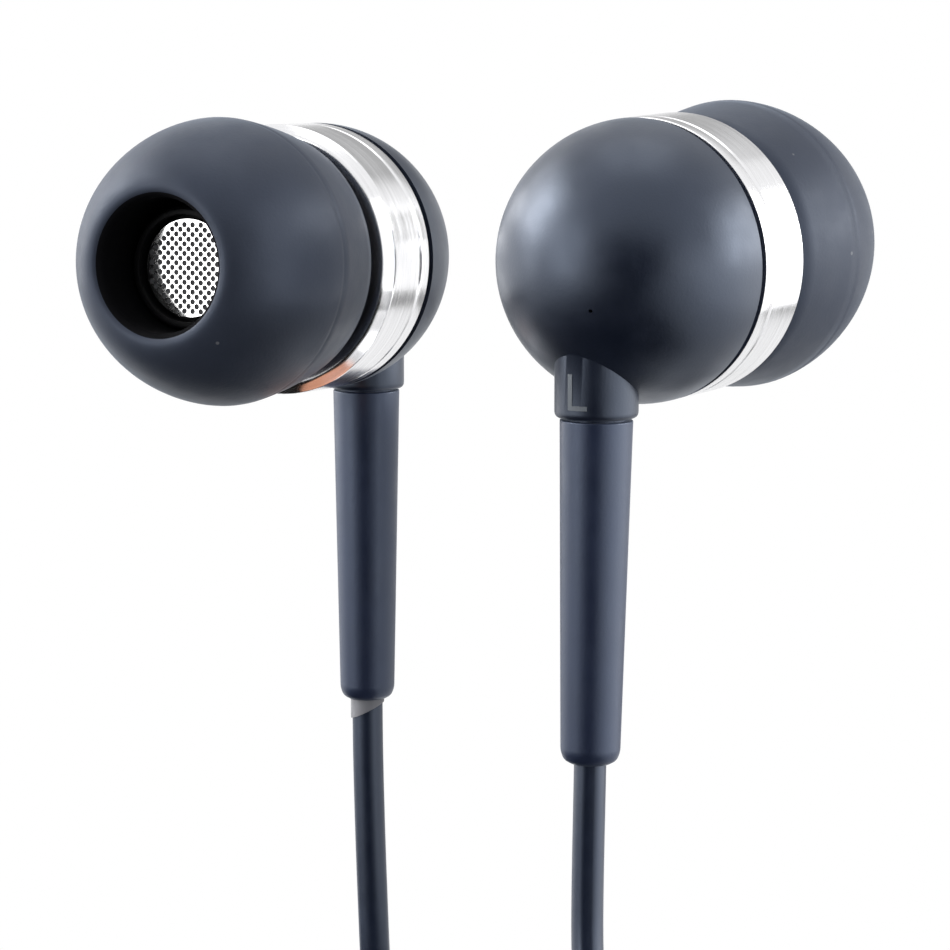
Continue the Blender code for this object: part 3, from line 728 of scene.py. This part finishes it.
def coil_points(start_angle, turns, layers, mean_radius, diameter, base):
    """Loops that spiral in and out again, climbing a layer in the half turn where they reverse."""
    pitch = diameter + LOOP_GAP
    per_layer = turns / layers
    outer = mean_radius + pitch * per_layer / 2
    count = round(turns * LOOP_POINTS)
    places = []
    for index in range(count + 1):
        turn = turns * index / count
        layer = min(int(turn / per_layer), layers - 1)
        within = turn - layer * per_layer
        inward = within if layer % 2 == 0 else per_layer - within
        level = sum(np.clip((turn - k * per_layer) / LAYER_CLIMB + 0.5, 0, 1) for k in range(1, layers))
        height = base + pitch * level
        angle = math.radians(start_angle) + math.tau * turn
        radius = outer - pitch * inward
        places.append((radius * math.cos(angle), radius * math.sin(angle), height))
    places = np.array(places)
    lead = places[0] - places[1]
    trail = places[-1] - places[-2]
    lead[2] = trail[2] = 0
    first = places[0] + COIL_LEAD * diameter * lead / np.linalg.norm(lead)
    last = places[-1] + COIL_LEAD * diameter * trail / np.linalg.norm(trail)
    return np.vstack([first, places, last]) + np.array((*COIL_PLACE, FLOOR))


def wind_coils():
    main_pitch = MAIN_DIAMETER + LOOP_GAP
    branch_pitch = BRANCH_DIAMETER + LOOP_GAP
    main_base = COIL_LIFT + MAIN_DIAMETER / 2
    right_base = main_base + main_pitch * (MAIN_LAYERS - 1) + (MAIN_DIAMETER + BRANCH_DIAMETER) / 2 + LOOP_GAP
    left_base = right_base + branch_pitch * BRANCH_LAYERS
    branch = (BRANCH_LAYERS, BRANCH_MEAN_RADIUS, BRANCH_DIAMETER)
    main = (MAIN_LAYERS, MAIN_MEAN_RADIUS, MAIN_DIAMETER)
    return {
        "main": coil_points(MAIN_COIL_START, MAIN_TURNS, *main, main_base),
        "right": coil_points(0, RIGHT_TURNS, *branch, right_base),
        "left": coil_points(0, LEFT_TURNS, *branch, left_base),
    }


def on_floor(place, height=0.0):
    return Vector((COIL_PLACE[0] + place[0], COIL_PLACE[1] + place[1], FLOOR + height))


def stretch(start, route, end):
    """A free stretch from one end, over its route, to the other end."""
    middle = np.array(route) * MM + np.array((*COIL_PLACE, FLOOR))
    return smooth_route(np.vstack([start, middle, end]), CORD_STEP)


def settle(points, rounds=6):
    """Even out the small kinks where stretches meet."""
    path = even(points, CORD_STEP)
    for _ in range(rounds):
        path[1:-1] = (path[:-2] + 2 * path[1:-1] + path[2:]) / 4
    return path


def tube_faces(rows, count, looped=False):
    """The faces between rows of points, and between the last row and the first in a loop."""
    faces = []
    for row in range(rows if looped else rows - 1):
        ahead = (row + 1) % rows
        for k in range(count):
            n = (k + 1) % count
            faces.append((row * count + k, row * count + n, ahead * count + n, ahead * count + k))
    return faces


def sweep(name, path, section, facing):
    """A closed tube along the path. Its section is a loop of (across, facing) points."""
    tangents = np.gradient(path, axis=0)
    tangents /= np.linalg.norm(tangents, axis=1)[:, None]
    normal = np.array(facing, float)
    count = len(section)
    places = []
    for point, tangent in zip(path, tangents):
        normal = normal - tangent * (normal @ tangent)
        normal /= np.linalg.norm(normal)
        across = np.cross(tangent, normal)
        places.append(point + section[:, :1] * across + section[:, 1:] * normal)
    faces = tube_faces(len(path), count)
    faces.append(tuple(range(count)))
    faces.append(tuple(range((len(path) - 1) * count, len(path) * count)))
    mesh = bpy.data.meshes.new(name)
    mesh.from_pydata([tuple(place) for place in np.vstack(places)], [], faces)
    return smooth(mesh, 60.0)


def cord_section(diameter, groove):
    """A slightly oval section with a shallow groove down its front and back."""
    angles = np.linspace(0, math.tau, CORD_SIDES, endpoint=False)
    dents = np.exp(-((np.abs(np.sin(angles)) - 1) / CORD_GROOVE_WIDTH) ** 2)
    radii = diameter / 2 * (1 - groove * dents)
    return np.stack([CORD_OVAL[0] * radii * np.cos(angles), CORD_OVAL[1] * radii * np.sin(angles)], axis=1)


def cords():
    """The two ear cords and the main cord, each one tube from end to end."""
    coils = wind_coils()
    split = on_floor(SPLITTER_PLACE, SPLITTER_RADIUS)
    half = Vector((SPLITTER_LENGTH / 2, 0, 0))
    spread = Vector((0, BRANCH_SPREAD, 0))
    plug_end = on_floor(PLUG_PLACE, PLUG_BODY_RADIUS)
    made = {}
    routes = {"left": (LEFT_RISE, LEFT_TAIL, -spread), "right": (RIGHT_RISE, RIGHT_TAIL, spread)}
    for side, (rise, tail, offset) in routes.items():
        start = cord_start(side)
        up = stretch(coils[side][-1], rise, start[::-1])
        down = stretch(coils[side][0], tail, split + half + offset)
        path = settle(np.vstack([up[::-1], coils[side][-2:0:-1], down]))
        section = cord_section(BRANCH_DIAMETER, BRANCH_GROOVE)
        mesh = sweep(side + "_cord", path, section, (0, -1, 0) if side == "left" else (1, 0, 0))
        nodes = [side + "_cord_" + stage for stage in ("rise", "coil", "tail")]
        made[side] = (piece(side + "_cord", mesh, "cord", nodes), path, start[2])
    link_up = stretch(coils["main"][-1], MAIN_LINK, split - half)
    tail = stretch(coils["main"][0], MAIN_TAIL, plug_end)
    path = settle(np.vstack([link_up[::-1], coils["main"][-2:0:-1], tail]))
    mesh = sweep("main_cord", path, cord_section(MAIN_DIAMETER, MAIN_GROOVE), (0, 0, 1))
    nodes = ["main_cord_" + stage for stage in ("link", "coil", "tail")]
    made["main"] = (piece("main_cord", mesh, "cord", nodes), path, split - half)
    return made


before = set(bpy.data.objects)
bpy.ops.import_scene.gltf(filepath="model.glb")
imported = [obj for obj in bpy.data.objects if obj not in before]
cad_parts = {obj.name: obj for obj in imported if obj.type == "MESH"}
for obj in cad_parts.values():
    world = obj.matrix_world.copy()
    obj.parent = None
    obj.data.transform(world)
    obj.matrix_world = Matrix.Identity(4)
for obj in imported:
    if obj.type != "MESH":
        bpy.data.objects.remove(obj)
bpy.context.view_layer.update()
photo_camera()
laid = cords()


# Earpieces.


def rear_shell(side):
    """The hollow ball and its collar, with a small vent."""
    rim = math.degrees(math.acos((GAP - BALL_BEHIND_RING) / BALL_RADIUS))
    outer = arc(-BALL_BEHIND_RING, BALL_RADIUS, 0, rim, BALL_POINTS)
    ball = lathe(side + "_shell", outer + [(-GAP, 0)], closed=False)
    corners = [
        (COLLAR_TOP, 0, 0),
        (COLLAR_TOP, COLLAR_RADIUS, 0),
        (COLLAR_FOOT, COLLAR_RADIUS, COLLAR_ROUND),
        (COLLAR_FOOT, 0, 0),
    ]
    collar_profile = rounded(corners, 7)
    collar = lathe("collar", collar_profile, SMALL_STEPS, False, "Z")
    inner = arc(-BALL_BEHIND_RING, BALL_RADIUS - SHELL_WALL, 0, 90, CAVITY_POINTS)
    cavity_profile = inner + [(RING_LENGTH, BALL_RADIUS - SHELL_WALL), (RING_LENGTH, 0)]
    cavity = lathe("cavity", cavity_profile, SMALL_STEPS, False)
    bore_profile = [(0, 0), (0, CORD_BORE), (2 * COLLAR_FOOT, CORD_BORE), (2 * COLLAR_FOOT, 0)]
    bore = lathe("bore", bore_profile, BORE_STEPS, False, "Z")
    stem = turn_about("Y", EARPIECES[side]["rise"]) @ Matrix.Translation(stem_place(side))
    vent_profile = [(-VENT_DEPTH, 0), (-VENT_DEPTH, VENT_RADIUS), (VENT_DEPTH, VENT_RADIUS), (VENT_DEPTH, 0)]
    vent = lathe("vent", vent_profile, VENT_STEPS, False)
    outward = Vector(VENT_TOWARDS).normalized()
    outward.y *= -1 if side == "left" else 1
    vent_place = Matrix.Translation(outward * BALL_RADIUS - Vector((BALL_BEHIND_RING, 0, 0)))
    vent_place = vent_place @ outward.to_track_quat("X", "Z").to_matrix().to_4x4()
    steps = [
        ("UNION", collar, stem),
        ("DIFFERENCE", cavity, Matrix()),
        ("DIFFERENCE", bore, stem),
        ("DIFFERENCE", vent, vent_place),
    ]
    mesh = carve(side + "_shell", ball, steps)
    weighted(piece(side + "_shell", mesh, "shell", [side + "_rear_shell"], head_matrix(side)))


def trim_ring(side):
    face = RING_LENGTH + RING_CHAMFER
    corners = [
        (RING_SEAM, RING_BORE, 0),
        (RING_SEAM, RING_RADIUS, RING_EDGE / 2),
        (RING_GROOVE_AT - RING_EDGE, RING_RADIUS, RING_GROOVE_ROUND),
        (RING_GROOVE_AT, RING_RADIUS - RING_GROOVE_DEPTH, RING_GROOVE_ROUND),
        (RING_GROOVE_AT + RING_EDGE, RING_RADIUS, RING_GROOVE_ROUND),
        (RING_LENGTH, RING_RADIUS, RING_SIDE_ROUND),
        (face, RING_RADIUS - RING_CHAMFER, RING_FACE_ROUND),
        (face, RING_LIP, RING_LIP_ROUND),
        (face - RING_LIP_LENGTH, RING_LIP, 0),
        (face - RING_LIP_LENGTH, RING_BORE, 0),
    ]
    profile = rounded(corners)
    mesh = lathe(side + "_ring", profile)
    weighted(piece(side + "_ring", mesh, "ring", [side + "_trim_ring"], head_matrix(side)))


def front_housing(side):
    seat = MESH_FRONT - MESH_THICKNESS - GAP
    barb = NOZZLE_END - NOZZLE_BARB_LENGTH
    edge = HOUSING_EDGE
    corners = [
        (PLATE_BACK, NOZZLE_BORE, 0),
        (PLATE_BACK, PLATE_RADIUS, edge),
        (PLATE_FRONT, PLATE_RADIUS, edge),
        (PLATE_FRONT, NOZZLE_RADIUS, edge),
        (barb - NOZZLE_BARB_RISE, NOZZLE_RADIUS, edge),
        (barb, NOZZLE_BARB, edge),
        (NOZZLE_END - NOZZLE_ROUND, NOZZLE_BARB, edge),
        (NOZZLE_END, NOZZLE_RADIUS, edge),
        (NOZZLE_END, MESH_SEAT, edge / 2),
        (seat, MESH_SEAT, 0),
        (seat, NOZZLE_BORE, 0),
    ]
    profile = rounded(corners)
    mesh = lathe(side + "_housing", profile, SMALL_STEPS)
    weighted(piece(side + "_housing", mesh, "black", [side + "_front_housing"], head_matrix(side)))


def nozzle_mesh(side):
    """A steel disc with a square lattice of round holes, turned on its corner. Cloth closes the holes."""
    back = MESH_FRONT - MESH_THICKNESS
    profile = [(back, 0), (back, MESH_RADIUS), (MESH_FRONT, MESH_RADIUS), (MESH_FRONT, 0)]
    disc = lathe(side + "_mesh", profile, SMALL_STEPS, False)
    cloth = MESH_FRONT - MESH_HOLE_DEPTH
    hole_profile = [(cloth, 0), (cloth, MESH_HOLE_RADIUS), (MESH_FRONT + GAP, MESH_HOLE_RADIUS)]
    hole = lathe("hole", hole_profile + [(MESH_FRONT + GAP, 0)], HOLE_STEPS, False)
    reach = int(MESH_RADIUS / MESH_PITCH) + 1
    holes = bmesh.new()
    for row in range(-reach, reach + 1):
        for column in range(-reach, reach + 1):
            place = Vector((0, row * MESH_PITCH, column * MESH_PITCH))
            if place.length < MESH_RADIUS - MESH_HOLE_MARGIN * MESH_HOLE_RADIUS:
                start = len(holes.verts)
                holes.from_mesh(hole)
                holes.verts.ensure_lookup_table()
                bmesh.ops.translate(holes, verts=holes.verts[start:], vec=place)
    tools = bpy.data.meshes.new("holes")
    holes.to_mesh(tools)
    holes.free()
    mesh = carve(side + "_mesh", disc, [("DIFFERENCE", tools, turn_about("X", MESH_TURN))])
    piece(side + "_mesh", mesh, "mesh", [side + "_nozzle_mesh"], head_matrix(side))
    mesh.materials.append(LOOKS["cloth"])
    for face in mesh.polygons:
        face.material_index = int(face.normal.x > 0.9 and face.center.x < MESH_FRONT - MESH_HOLE_DEPTH / 2)


def ear_tip(side):
    """The silicone tip: a dome with a soft lip, a fine crease and a skirt, hollow behind."""
    seat = EARPIECES[side]["tip_seat"]
    share = 2 / TIP_DOME_POWER
    drop = TIP_RADIUS - TIP_NOSE_RADIUS
    dome = []
    for t in np.linspace(0, math.pi / 2, TIP_DOME_POINTS)[1:]:
        radius = TIP_NOSE_RADIUS + drop * max(0.0, math.cos(t)) ** share
        dome.append((TIP_NOSE * math.sin(t) ** share, radius))
    lip_depth = TIP_NOSE_RADIUS - TIP_BORE
    lip = []
    for t in np.linspace(0, math.pi / 2, TIP_LIP_POINTS)[1:]:
        radius = TIP_NOSE_RADIUS - lip_depth * math.sin(t)
        lip.append((TIP_NOSE - TIP_MOUTH_DEPTH * (1 - math.cos(t)), radius))
    bulge = TIP_SKIRT_MIDDLE - (TIP_SKIRT_RADIUS + TIP_RADIUS) / 2
    skirt = []
    for run in np.linspace(-TIP_SKIRT, -TIP_CREASE_WIDTH, TIP_SKIRT_POINTS):
        along = 1 + run / TIP_SKIRT
        level = TIP_SKIRT_RADIUS + (TIP_RADIUS - TIP_SKIRT_RADIUS) * along
        skirt.append((run, level + 4 * bulge * along * (1 - along)))
    soft = TIP_EDGE_ROUND
    corners = [
        (-TIP_CORE_END, TIP_BORE, TIP_BORE_ROUND),
        (-TIP_CORE_END, TIP_CORE_RADIUS, TIP_CORE_ROUND),
        (TIP_HOLLOW_START, TIP_CORE_RADIUS, soft),
        (TIP_HOLLOW_DEPTH, TIP_CORE_RADIUS + TIP_HOLLOW_ROUND / 2, soft),
        (TIP_HOLLOW_DEPTH - TIP_HOLLOW_ROUND, TIP_CORE_RADIUS + 1.5 * TIP_HOLLOW_ROUND, soft),
        (0, TIP_RADIUS - TIP_WALL, TIP_WALL_ROUND),
        (-TIP_SKIRT, TIP_SKIRT_RADIUS - TIP_WALL, soft),
        (-TIP_SKIRT, TIP_SKIRT_RADIUS, soft),
    ]
    inside = rounded(corners)
    crease = [(0, TIP_RADIUS - TIP_CREASE_DEPTH)]
    profile = skirt[1:] + crease + dome + lip + inside
    mesh = lathe(side + "_tip", [(seat + run, radius) for run, radius in profile])
    # The mouth and bore faces get the near-black look, painted shade where the bore lies in shadow.
    core = [math.hypot(face.center.y, face.center.z) < TIP_SHADE_EDGE for face in mesh.polygons]
    mesh.transform(tip_matrix(side))
    weighted(piece(side + "_tip", mesh, "silicone", [side + "_ear_tip"], body=side + "_tip"))
    mesh.materials.append(LOOKS["core"])
    for face, dark in zip(mesh.polygons, core):
        face.material_index = int(dark)


def strain_relief(side):
    foot = -RELIEF_LENGTH
    corners = [
        (2 * GAP, CORD_BORE, 0),
        (2 * GAP, RELIEF_NECK, 0),
        (RELIEF_RISE, RELIEF_NECK, 0),
        (RELIEF_RISE, RELIEF_TOP_RADIUS, RELIEF_EDGE),
        (foot + RELIEF_ROUND, RELIEF_END_RADIUS, RELIEF_ROUND / 2),
        (foot + RELIEF_FOOT_UP, RELIEF_END_RADIUS - RELIEF_FOOT_IN, RELIEF_ROUND / 3),
        (foot, RELIEF_END_RADIUS - RELIEF_END_IN, RELIEF_EDGE),
        (foot, RELIEF_MOUTH, 0),
        (foot + RELIEF_ROUND, RELIEF_MOUTH, 0),
        (foot + RELIEF_ROUND, CORD_BORE, 0),
    ]
    profile = rounded(corners, 7)
    mesh = lathe(side + "_relief", profile, SMALL_STEPS, True, "Z")
    place = Matrix.Translation(cord_start(side)[1]) @ turn_about("Y", EARPIECES[side]["relief_lean"])
    weighted(piece(side + "_relief", mesh, "relief", [side + "_strain_relief"], place))


def cord_sleeve(side):
    """The pale end of an inner sleeve, cut on a slant, that shows under the relief's foot."""
    profile = [(SLEEVE_TUCK, SLEEVE_BORE), (SLEEVE_TUCK, SLEEVE_RADIUS), (0, SLEEVE_RADIUS), (0, SLEEVE_BORE)]
    mesh = lathe(side + "_sleeve", profile, SMALL_STEPS, True, "Z")
    for vert in mesh.vertices:
        if vert.co.z < SLEEVE_TUCK / 2:
            vert.co.z = SLEEVE_SLANT * vert.co.x - SLEEVE_LENGTH
    piece(side + "_sleeve", mesh, "paste", (), Matrix.Translation(cord_start(side)[2]))


def channel_mark(side):
    """The ear's letter, slightly raised on the back of the collar."""
    data = bpy.data.curves.new(side + "_mark", "FONT")
    data.body = EARPIECES[side]["mark"]
    data.size = MARK_HEIGHT / CAP_SHARE
    data.align_x = "CENTER"
    data.extrude = MARK_RISE
    text = link(bpy.data.objects.new(side + "_mark", data))
    graph = bpy.context.evaluated_depsgraph_get()
    mesh = bpy.data.meshes.new_from_object(text.evaluated_get(graph))
    bpy.data.objects.remove(text)
    shape = bmesh.new()
    shape.from_mesh(mesh)
    bmesh.ops.remove_doubles(shape, verts=shape.verts, dist=0.001 * MM)
    bmesh.ops.triangulate(shape, faces=shape.faces)
    long_edges = [edge for edge in shape.edges if edge.calc_length() > MARK_FACET]
    bmesh.ops.subdivide_edges(shape, edges=long_edges, cuts=4, use_grid_fill=True)
    for vert in shape.verts:
        across, up, out = vert.co
        angle = math.pi + math.radians(MARK_TURN) + across / COLLAR_RADIUS
        radius = COLLAR_RADIUS + out
        vert.co = (radius * math.cos(angle), radius * math.sin(angle), MARK_FOOT + up)
    shape.to_mesh(mesh)
    shape.free()
    matrix = earpiece_matrix(side) @ Matrix.Translation(stem_place(side))
    piece(side + "_mark", smooth(mesh, 30.0), "mark", (), matrix)


def cord_knot(side):
    """A small trefoil knot of cord inside the shell."""
    turns = np.linspace(0, math.tau, KNOT_POINTS)
    across = np.sin(turns) + 2 * np.sin(2 * turns)
    aside = np.cos(turns) - 2 * np.cos(2 * turns)
    up = -np.sin(3 * turns)
    path = np.stack([across, aside, up], axis=1)[:-1] * KNOT_SIZE
    angles = np.linspace(0, math.tau, KNOT_SIDES, endpoint=False)
    section = np.stack([np.cos(angles), np.sin(angles)], axis=1) * KNOT_CORD
    mesh = sweep(side + "_knot", path, section, (0, 0, 1))
    place = Matrix.Translation(KNOT_PLACE)
    piece(side + "_knot", mesh, "cord", [side + "_cord_knot"], earpiece_matrix(side) @ place)


for ear in EARPIECES:
    rear_shell(ear)
    trim_ring(ear)
    front_housing(ear)
    nozzle_mesh(ear)
    ear_tip(ear)
    strain_relief(ear)
    channel_mark(ear)
    cord_knot(ear)
    for node, inner_look in INNER_LOOKS.items():
        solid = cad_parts[ear + "_" + node]
        solid.data.materials.clear()
        solid.data.materials.append(LOOKS[inner_look])
cord_sleeve("right")


# Splitter, plug and tie.


def turned_piece(name, points, look, replaced, place, closed=False):
    mesh = lathe(name, rounded(points), SMALL_STEPS, closed)
    return weighted(piece(name, mesh, look, [replaced], Matrix.Translation(place)))


def grooves(start, stop, places):
    """Profile points of shallow grooves in a straight side between two (run, radius) points."""
    points = []
    for place in places:
        for offset, drop in ((-0.5, 0), (-0.25, GROOVE_DEPTH), (0.25, GROOVE_DEPTH), (0.5, 0)):
            run = place + offset * GROOVE_WIDTH
            share = (run - start[0]) / (stop[0] - start[0])
            points.append((run, start[1] + share * (stop[1] - start[1]) - drop, GROOVE_WIDTH / 8))
    return points


def splitter():
    half = SPLITTER_LENGTH / 2
    soft = SPLITTER_ROUND
    points = [
        (-half, 0, 0),
        (-half, SPLITTER_END_RADIUS, soft),
        *grooves((-half, SPLITTER_END_RADIUS), (half, SPLITTER_RADIUS), SPLITTER_GROOVES),
        (half, SPLITTER_RADIUS, soft),
        (half, 0, 0),
    ]
    place = on_floor(SPLITTER_PLACE, SPLITTER_RADIUS)
    return turned_piece("splitter", points, "relief", "cord_splitter", place)


def plug():
    place = on_floor(PLUG_PLACE, PLUG_BODY_RADIUS)
    points = [(0, 0, 0), (0, PLUG_RELIEF_RADIUS, PLUG_RELIEF_BACK_ROUND)]
    for step in range(1, PLUG_RIBS + 1):
        run = step * PLUG_RIB_SPACING
        crest = PLUG_RELIEF_RADIUS + PLUG_RIB_GROWTH * step
        groove = crest - PLUG_RIB_DEPTH
        points += [
            (run, crest, PLUG_RIB_ROUND),
            (run + PLUG_RIB_EDGE, groove, PLUG_GROOVE_ROUND),
            (run + PLUG_RIB_SPACING / 3, groove, PLUG_RIB_ROUND),
        ]
    back = PLUG_RELIEF_LENGTH + GAP
    points += [(back, PLUG_RELIEF_END_RADIUS, PLUG_RELIEF_FRONT_ROUND), (back, 0, 0)]
    made = [turned_piece("plug_boot", points, "relief", "plug_relief", place)]
    front = back + PLUG_BODY_LENGTH
    body = [
        (back, 0, 0),
        (back, PLUG_BODY_RADIUS, PLUG_BACK_ROUND),
        *grooves((back, PLUG_BODY_RADIUS), (front, PLUG_BODY_RADIUS), [back + run for run in PLUG_GROOVES]),
        (front, PLUG_BODY_RADIUS, PLUG_FRONT_ROUND),
        (front, JACK_RADIUS + GAP, PLUG_RIB_EDGE),
        (front - PLUG_SOCKET_DEPTH, JACK_RADIUS + GAP, 0),
        (front - PLUG_SOCKET_DEPTH, 0, 0),
    ]
    made.append(turned_piece("plug_grip", body, "relief", "plug_body", place))
    run = front - PLUG_SOCKET_DEPTH + GAP
    for part, length in JACK_PIECES:
        look = "insulator" if part.startswith("insulator") else "gold"
        end = run + length * MM
        points = [(run, 0, 0), (run, JACK_RADIUS, JACK_EDGE), (end, JACK_RADIUS, JACK_EDGE), (end, 0, 0)]
        made.append(turned_piece("jack_" + part, points, look, "plug_" + part, place))
        run = end + GAP / 3
    nose = [(run, 0, 0)]
    nose += [(run + along * MM, radius * MM, JACK_NOSE_ROUND) for along, radius in JACK_NOSE]
    nose += [(nose[-1][0], 0, 0)]
    made.append(turned_piece("jack_tip", nose, "gold", "plug_tip", place))
    return made


def tie():
    """The band round the bundle, with softly rounded corners."""
    corners = [
        (TIE_INNER, TIE_THICKNESS),
        (TIE_OUTER, TIE_THICKNESS),
        (TIE_OUTER, TIE_SHOULDER),
        (TIE_UPPER_OUTER, TIE_SHOULDER + TIE_OUTER - TIE_UPPER_OUTER),
        (TIE_UPPER_OUTER, TIE_TOP),
        (TIE_INNER, TIE_TOP),
    ]
    inside = np.array(rounded([(run, height, TIE_CORNER) for run, height in corners], 7))
    ahead = np.roll(inside, -1, axis=0) - np.roll(inside, 1, axis=0)
    ahead /= np.linalg.norm(ahead, axis=1)[:, None]
    outward = np.stack([ahead[:, 1], -ahead[:, 0]], axis=1)
    half = TIE_WIDTH / 2
    soft = TIE_EDGE
    section = rounded(
        [(-half, 0, soft), (half, 0, soft), (half, TIE_THICKNESS, soft), (-half, TIE_THICKNESS, soft)], 4
    )
    places = []
    for (run, height), (out_run, out_height) in zip(inside, outward):
        places += [(run + out_run * rise, across, height + out_height * rise) for across, rise in section]
    mesh = bpy.data.meshes.new("tie_band")
    mesh.from_pydata(places, [], tube_faces(len(inside), len(section), True))
    matrix = Matrix.Translation((*COIL_PLACE, FLOOR)) @ turn_about("Z", TIE_HEADING)
    return weighted(piece("tie_band", smooth(mesh), "tie", ["cord_tie"], matrix))


split_piece = splitter()
plug_pieces = plug()
band = tie()


# Studio.


def studio_world():
    """White wherever the camera, metal or glass looks, and a softer fill for the object's own light."""
    world = bpy.data.worlds.new("studio")
    tree = Tree(world, "Background")
    fill = tree.plain("ShaderNodeBackground", FILL_COLOUR, Strength=FILL_STRENGTH)
    white = tree.plain("ShaderNodeBackground", WHITE)
    rays = tree.node("ShaderNodeLightPath").outputs
    seen = tree.work("MAXIMUM", rays["Is Camera Ray"], rays["Is Glossy Ray"])
    seen = tree.work("MAXIMUM", seen, rays["Is Transmission Ray"])
    tree.show(tree.blend(seen, fill, white), "World Output")
    bpy.context.scene.world = world


def studio_floor():
    """A pale floor that keeps the shadow near the object and turns plain white further out."""
    mesh = bpy.data.meshes.new("floor")
    shape = bmesh.new()
    bmesh.ops.create_circle(shape, cap_ends=True, segments=FLOOR_SEGMENTS, radius=FLOOR_RADIUS)
    shape.to_mesh(mesh)
    shape.free()
    floor = link(bpy.data.objects.new("floor", mesh))
    floor.location = (*COIL_PLACE, FLOOR - FLOOR_DROP)
    material = bpy.data.materials.new("floor")
    tree = Tree(material, "Principled BSDF")
    rays = tree.node("ShaderNodeLightPath").outputs
    seen = tree.work("MAXIMUM", rays["Is Camera Ray"], rays["Is Glossy Ray"])
    distance = tree.node("ShaderNodeVectorMath", operation="LENGTH")
    tree.join(tree.node("ShaderNodeTexCoord").outputs["Object"], distance.inputs[0])
    far = tree.spread(distance.outputs["Value"], 0.0, 1.0, *FLOOR_FADE)
    near = tree.plain("ShaderNodeBsdfDiffuse", FLOOR_COLOUR)
    white = tree.plain("ShaderNodeEmission", WHITE)
    ground = tree.blend(tree.work("MULTIPLY", seen, far), near, white)
    bounce = tree.plain("ShaderNodeBsdfDiffuse", FLOOR_BOUNCE)
    tree.show(tree.blend(rays["Is Diffuse Ray"], ground, bounce))
    mesh.materials.append(material)


def lamp(name, place, size, power):
    """A flat lamp, which shines along its own -Z."""
    data = bpy.data.lights.new(name, "AREA")
    data.shape = "RECTANGLE"
    data.size, data.size_y = size
    data.energy = power
    made = link(bpy.data.objects.new(name, data))
    made.location = place
    return made


def softbox(name, place, size, power):
    """A large lamp that faces the object."""
    made = lamp(name, place, size, power)
    made.rotation_euler = (-Vector(place)).to_track_quat("-Z", "Y").to_euler()


def card(name, place, size, turn, level, shades=False):
    """A card that only reflections see, or that shades too: a dark one keeps a side of the object dark."""
    mesh = bpy.data.meshes.new(name)
    corners = [(x * size[0] / 2, y * size[1] / 2, 0) for x, y in ((-1, -1), (1, -1), (1, 1), (-1, 1))]
    mesh.from_pydata(corners, [], [(0, 1, 2, 3)])
    material = bpy.data.materials.new(name)
    tree = Tree(material, "Principled BSDF")
    tree.show(tree.plain("ShaderNodeEmission", WHITE, Strength=level))
    mesh.materials.append(material)
    made = link(bpy.data.objects.new(name, mesh))
    made.location = place
    made.rotation_euler = [math.radians(angle) for angle in turn]
    made.visible_camera = False
    made.visible_diffuse = False
    made.visible_shadow = shades


def glint(name, place, size, turn, level, tint=WHITE):
    """A small lamp that only reflections see, as bright as a white card of the same level."""
    made = lamp(name, place, size, level * math.pi * size[0] * size[1])
    made.data.color = tint
    made.rotation_euler = [math.radians(angle) for angle in turn]
    made.visible_diffuse = False


studio_world()
studio_floor()
softbox("left_softbox", (-0.31, 0.145, 0.09), (0.34, 0.36), 0.95)
softbox("key_softbox", (-0.31, 0.061, 0.169), (0.18, 0.18), 0.55)
softbox("front_softbox", (-0.318, -0.169, 0.03), (0.17, 0.28), 0.40)
softbox("right_softbox", (0.38, 0.015, 0.03), (0.32, 0.36), 1.75)
softbox("top_softbox", (0.0, 0.05, 0.42), (0.3, 0.3), 0.3)
softbox("low_softbox", (0.27, -0.20, 0.005), (0.3, 0.12), 0.12)
card("floor_flag", (-0.032, -0.17, CARD_HEIGHT), (0.144, 0.42), (0, 0, 0), 0.01)
card("front_flag", (-0.045, -0.30, 0.043), (0.31, 0.194), (90, 0, 0), 0.01)
card("back_card", (0.127, 0.391, 0.183), (0.32, 0.18), (114, 0, -18), 0.42)
card("side_card", (0.282, 0.213, 0.069), (0.06, 0.08), (101, 0, -53), 0.25)
card("low_card", (0.130, 0.088, CARD_HEIGHT), (0.22, 0.06), (0, 0, -55), 0.28)
card("right_card", (0.109, -0.015, -0.026), (0.166, 0.052), (90, 0, -98), 2.1)
card("under_card", (0.024, -0.001, -0.040), (0.032, 0.026), (0, 0, 0), 0.8)
card("rim_card", mm(8, 19, -36), mm(18, 16), (0, 0, 0), 1.4)
card("relief_flag", mm(1.5, 8.5, -21), mm(10, 28), (90, 0, 90), 1.0, shades=True)
glint("chamfer_lamp", mm(-3.4, -1.8, -8.3), mm(4, 4), (180, 0, 0), 0.9)
glint("ring_lamp", mm(-3.3, -0.95, -5.2), mm(1.6, 3.4), (134.4, 0, 32), 0.95)
glint("ball_lamp", BETWEEN_EARS, mm(9, 8), (270, 0, 50.3), 1.75)
glint("tip_lamp", BETWEEN_EARS, mm(9, 8), (90, 0, 50.3), 1.2)
glint("warm_lamp", mm(-6.5, 1.3, -8.5), mm(3.6, 3.6), (180, 0, 0), 0.72, WARM)

bpy.context.scene.view_settings.view_transform = "Standard"
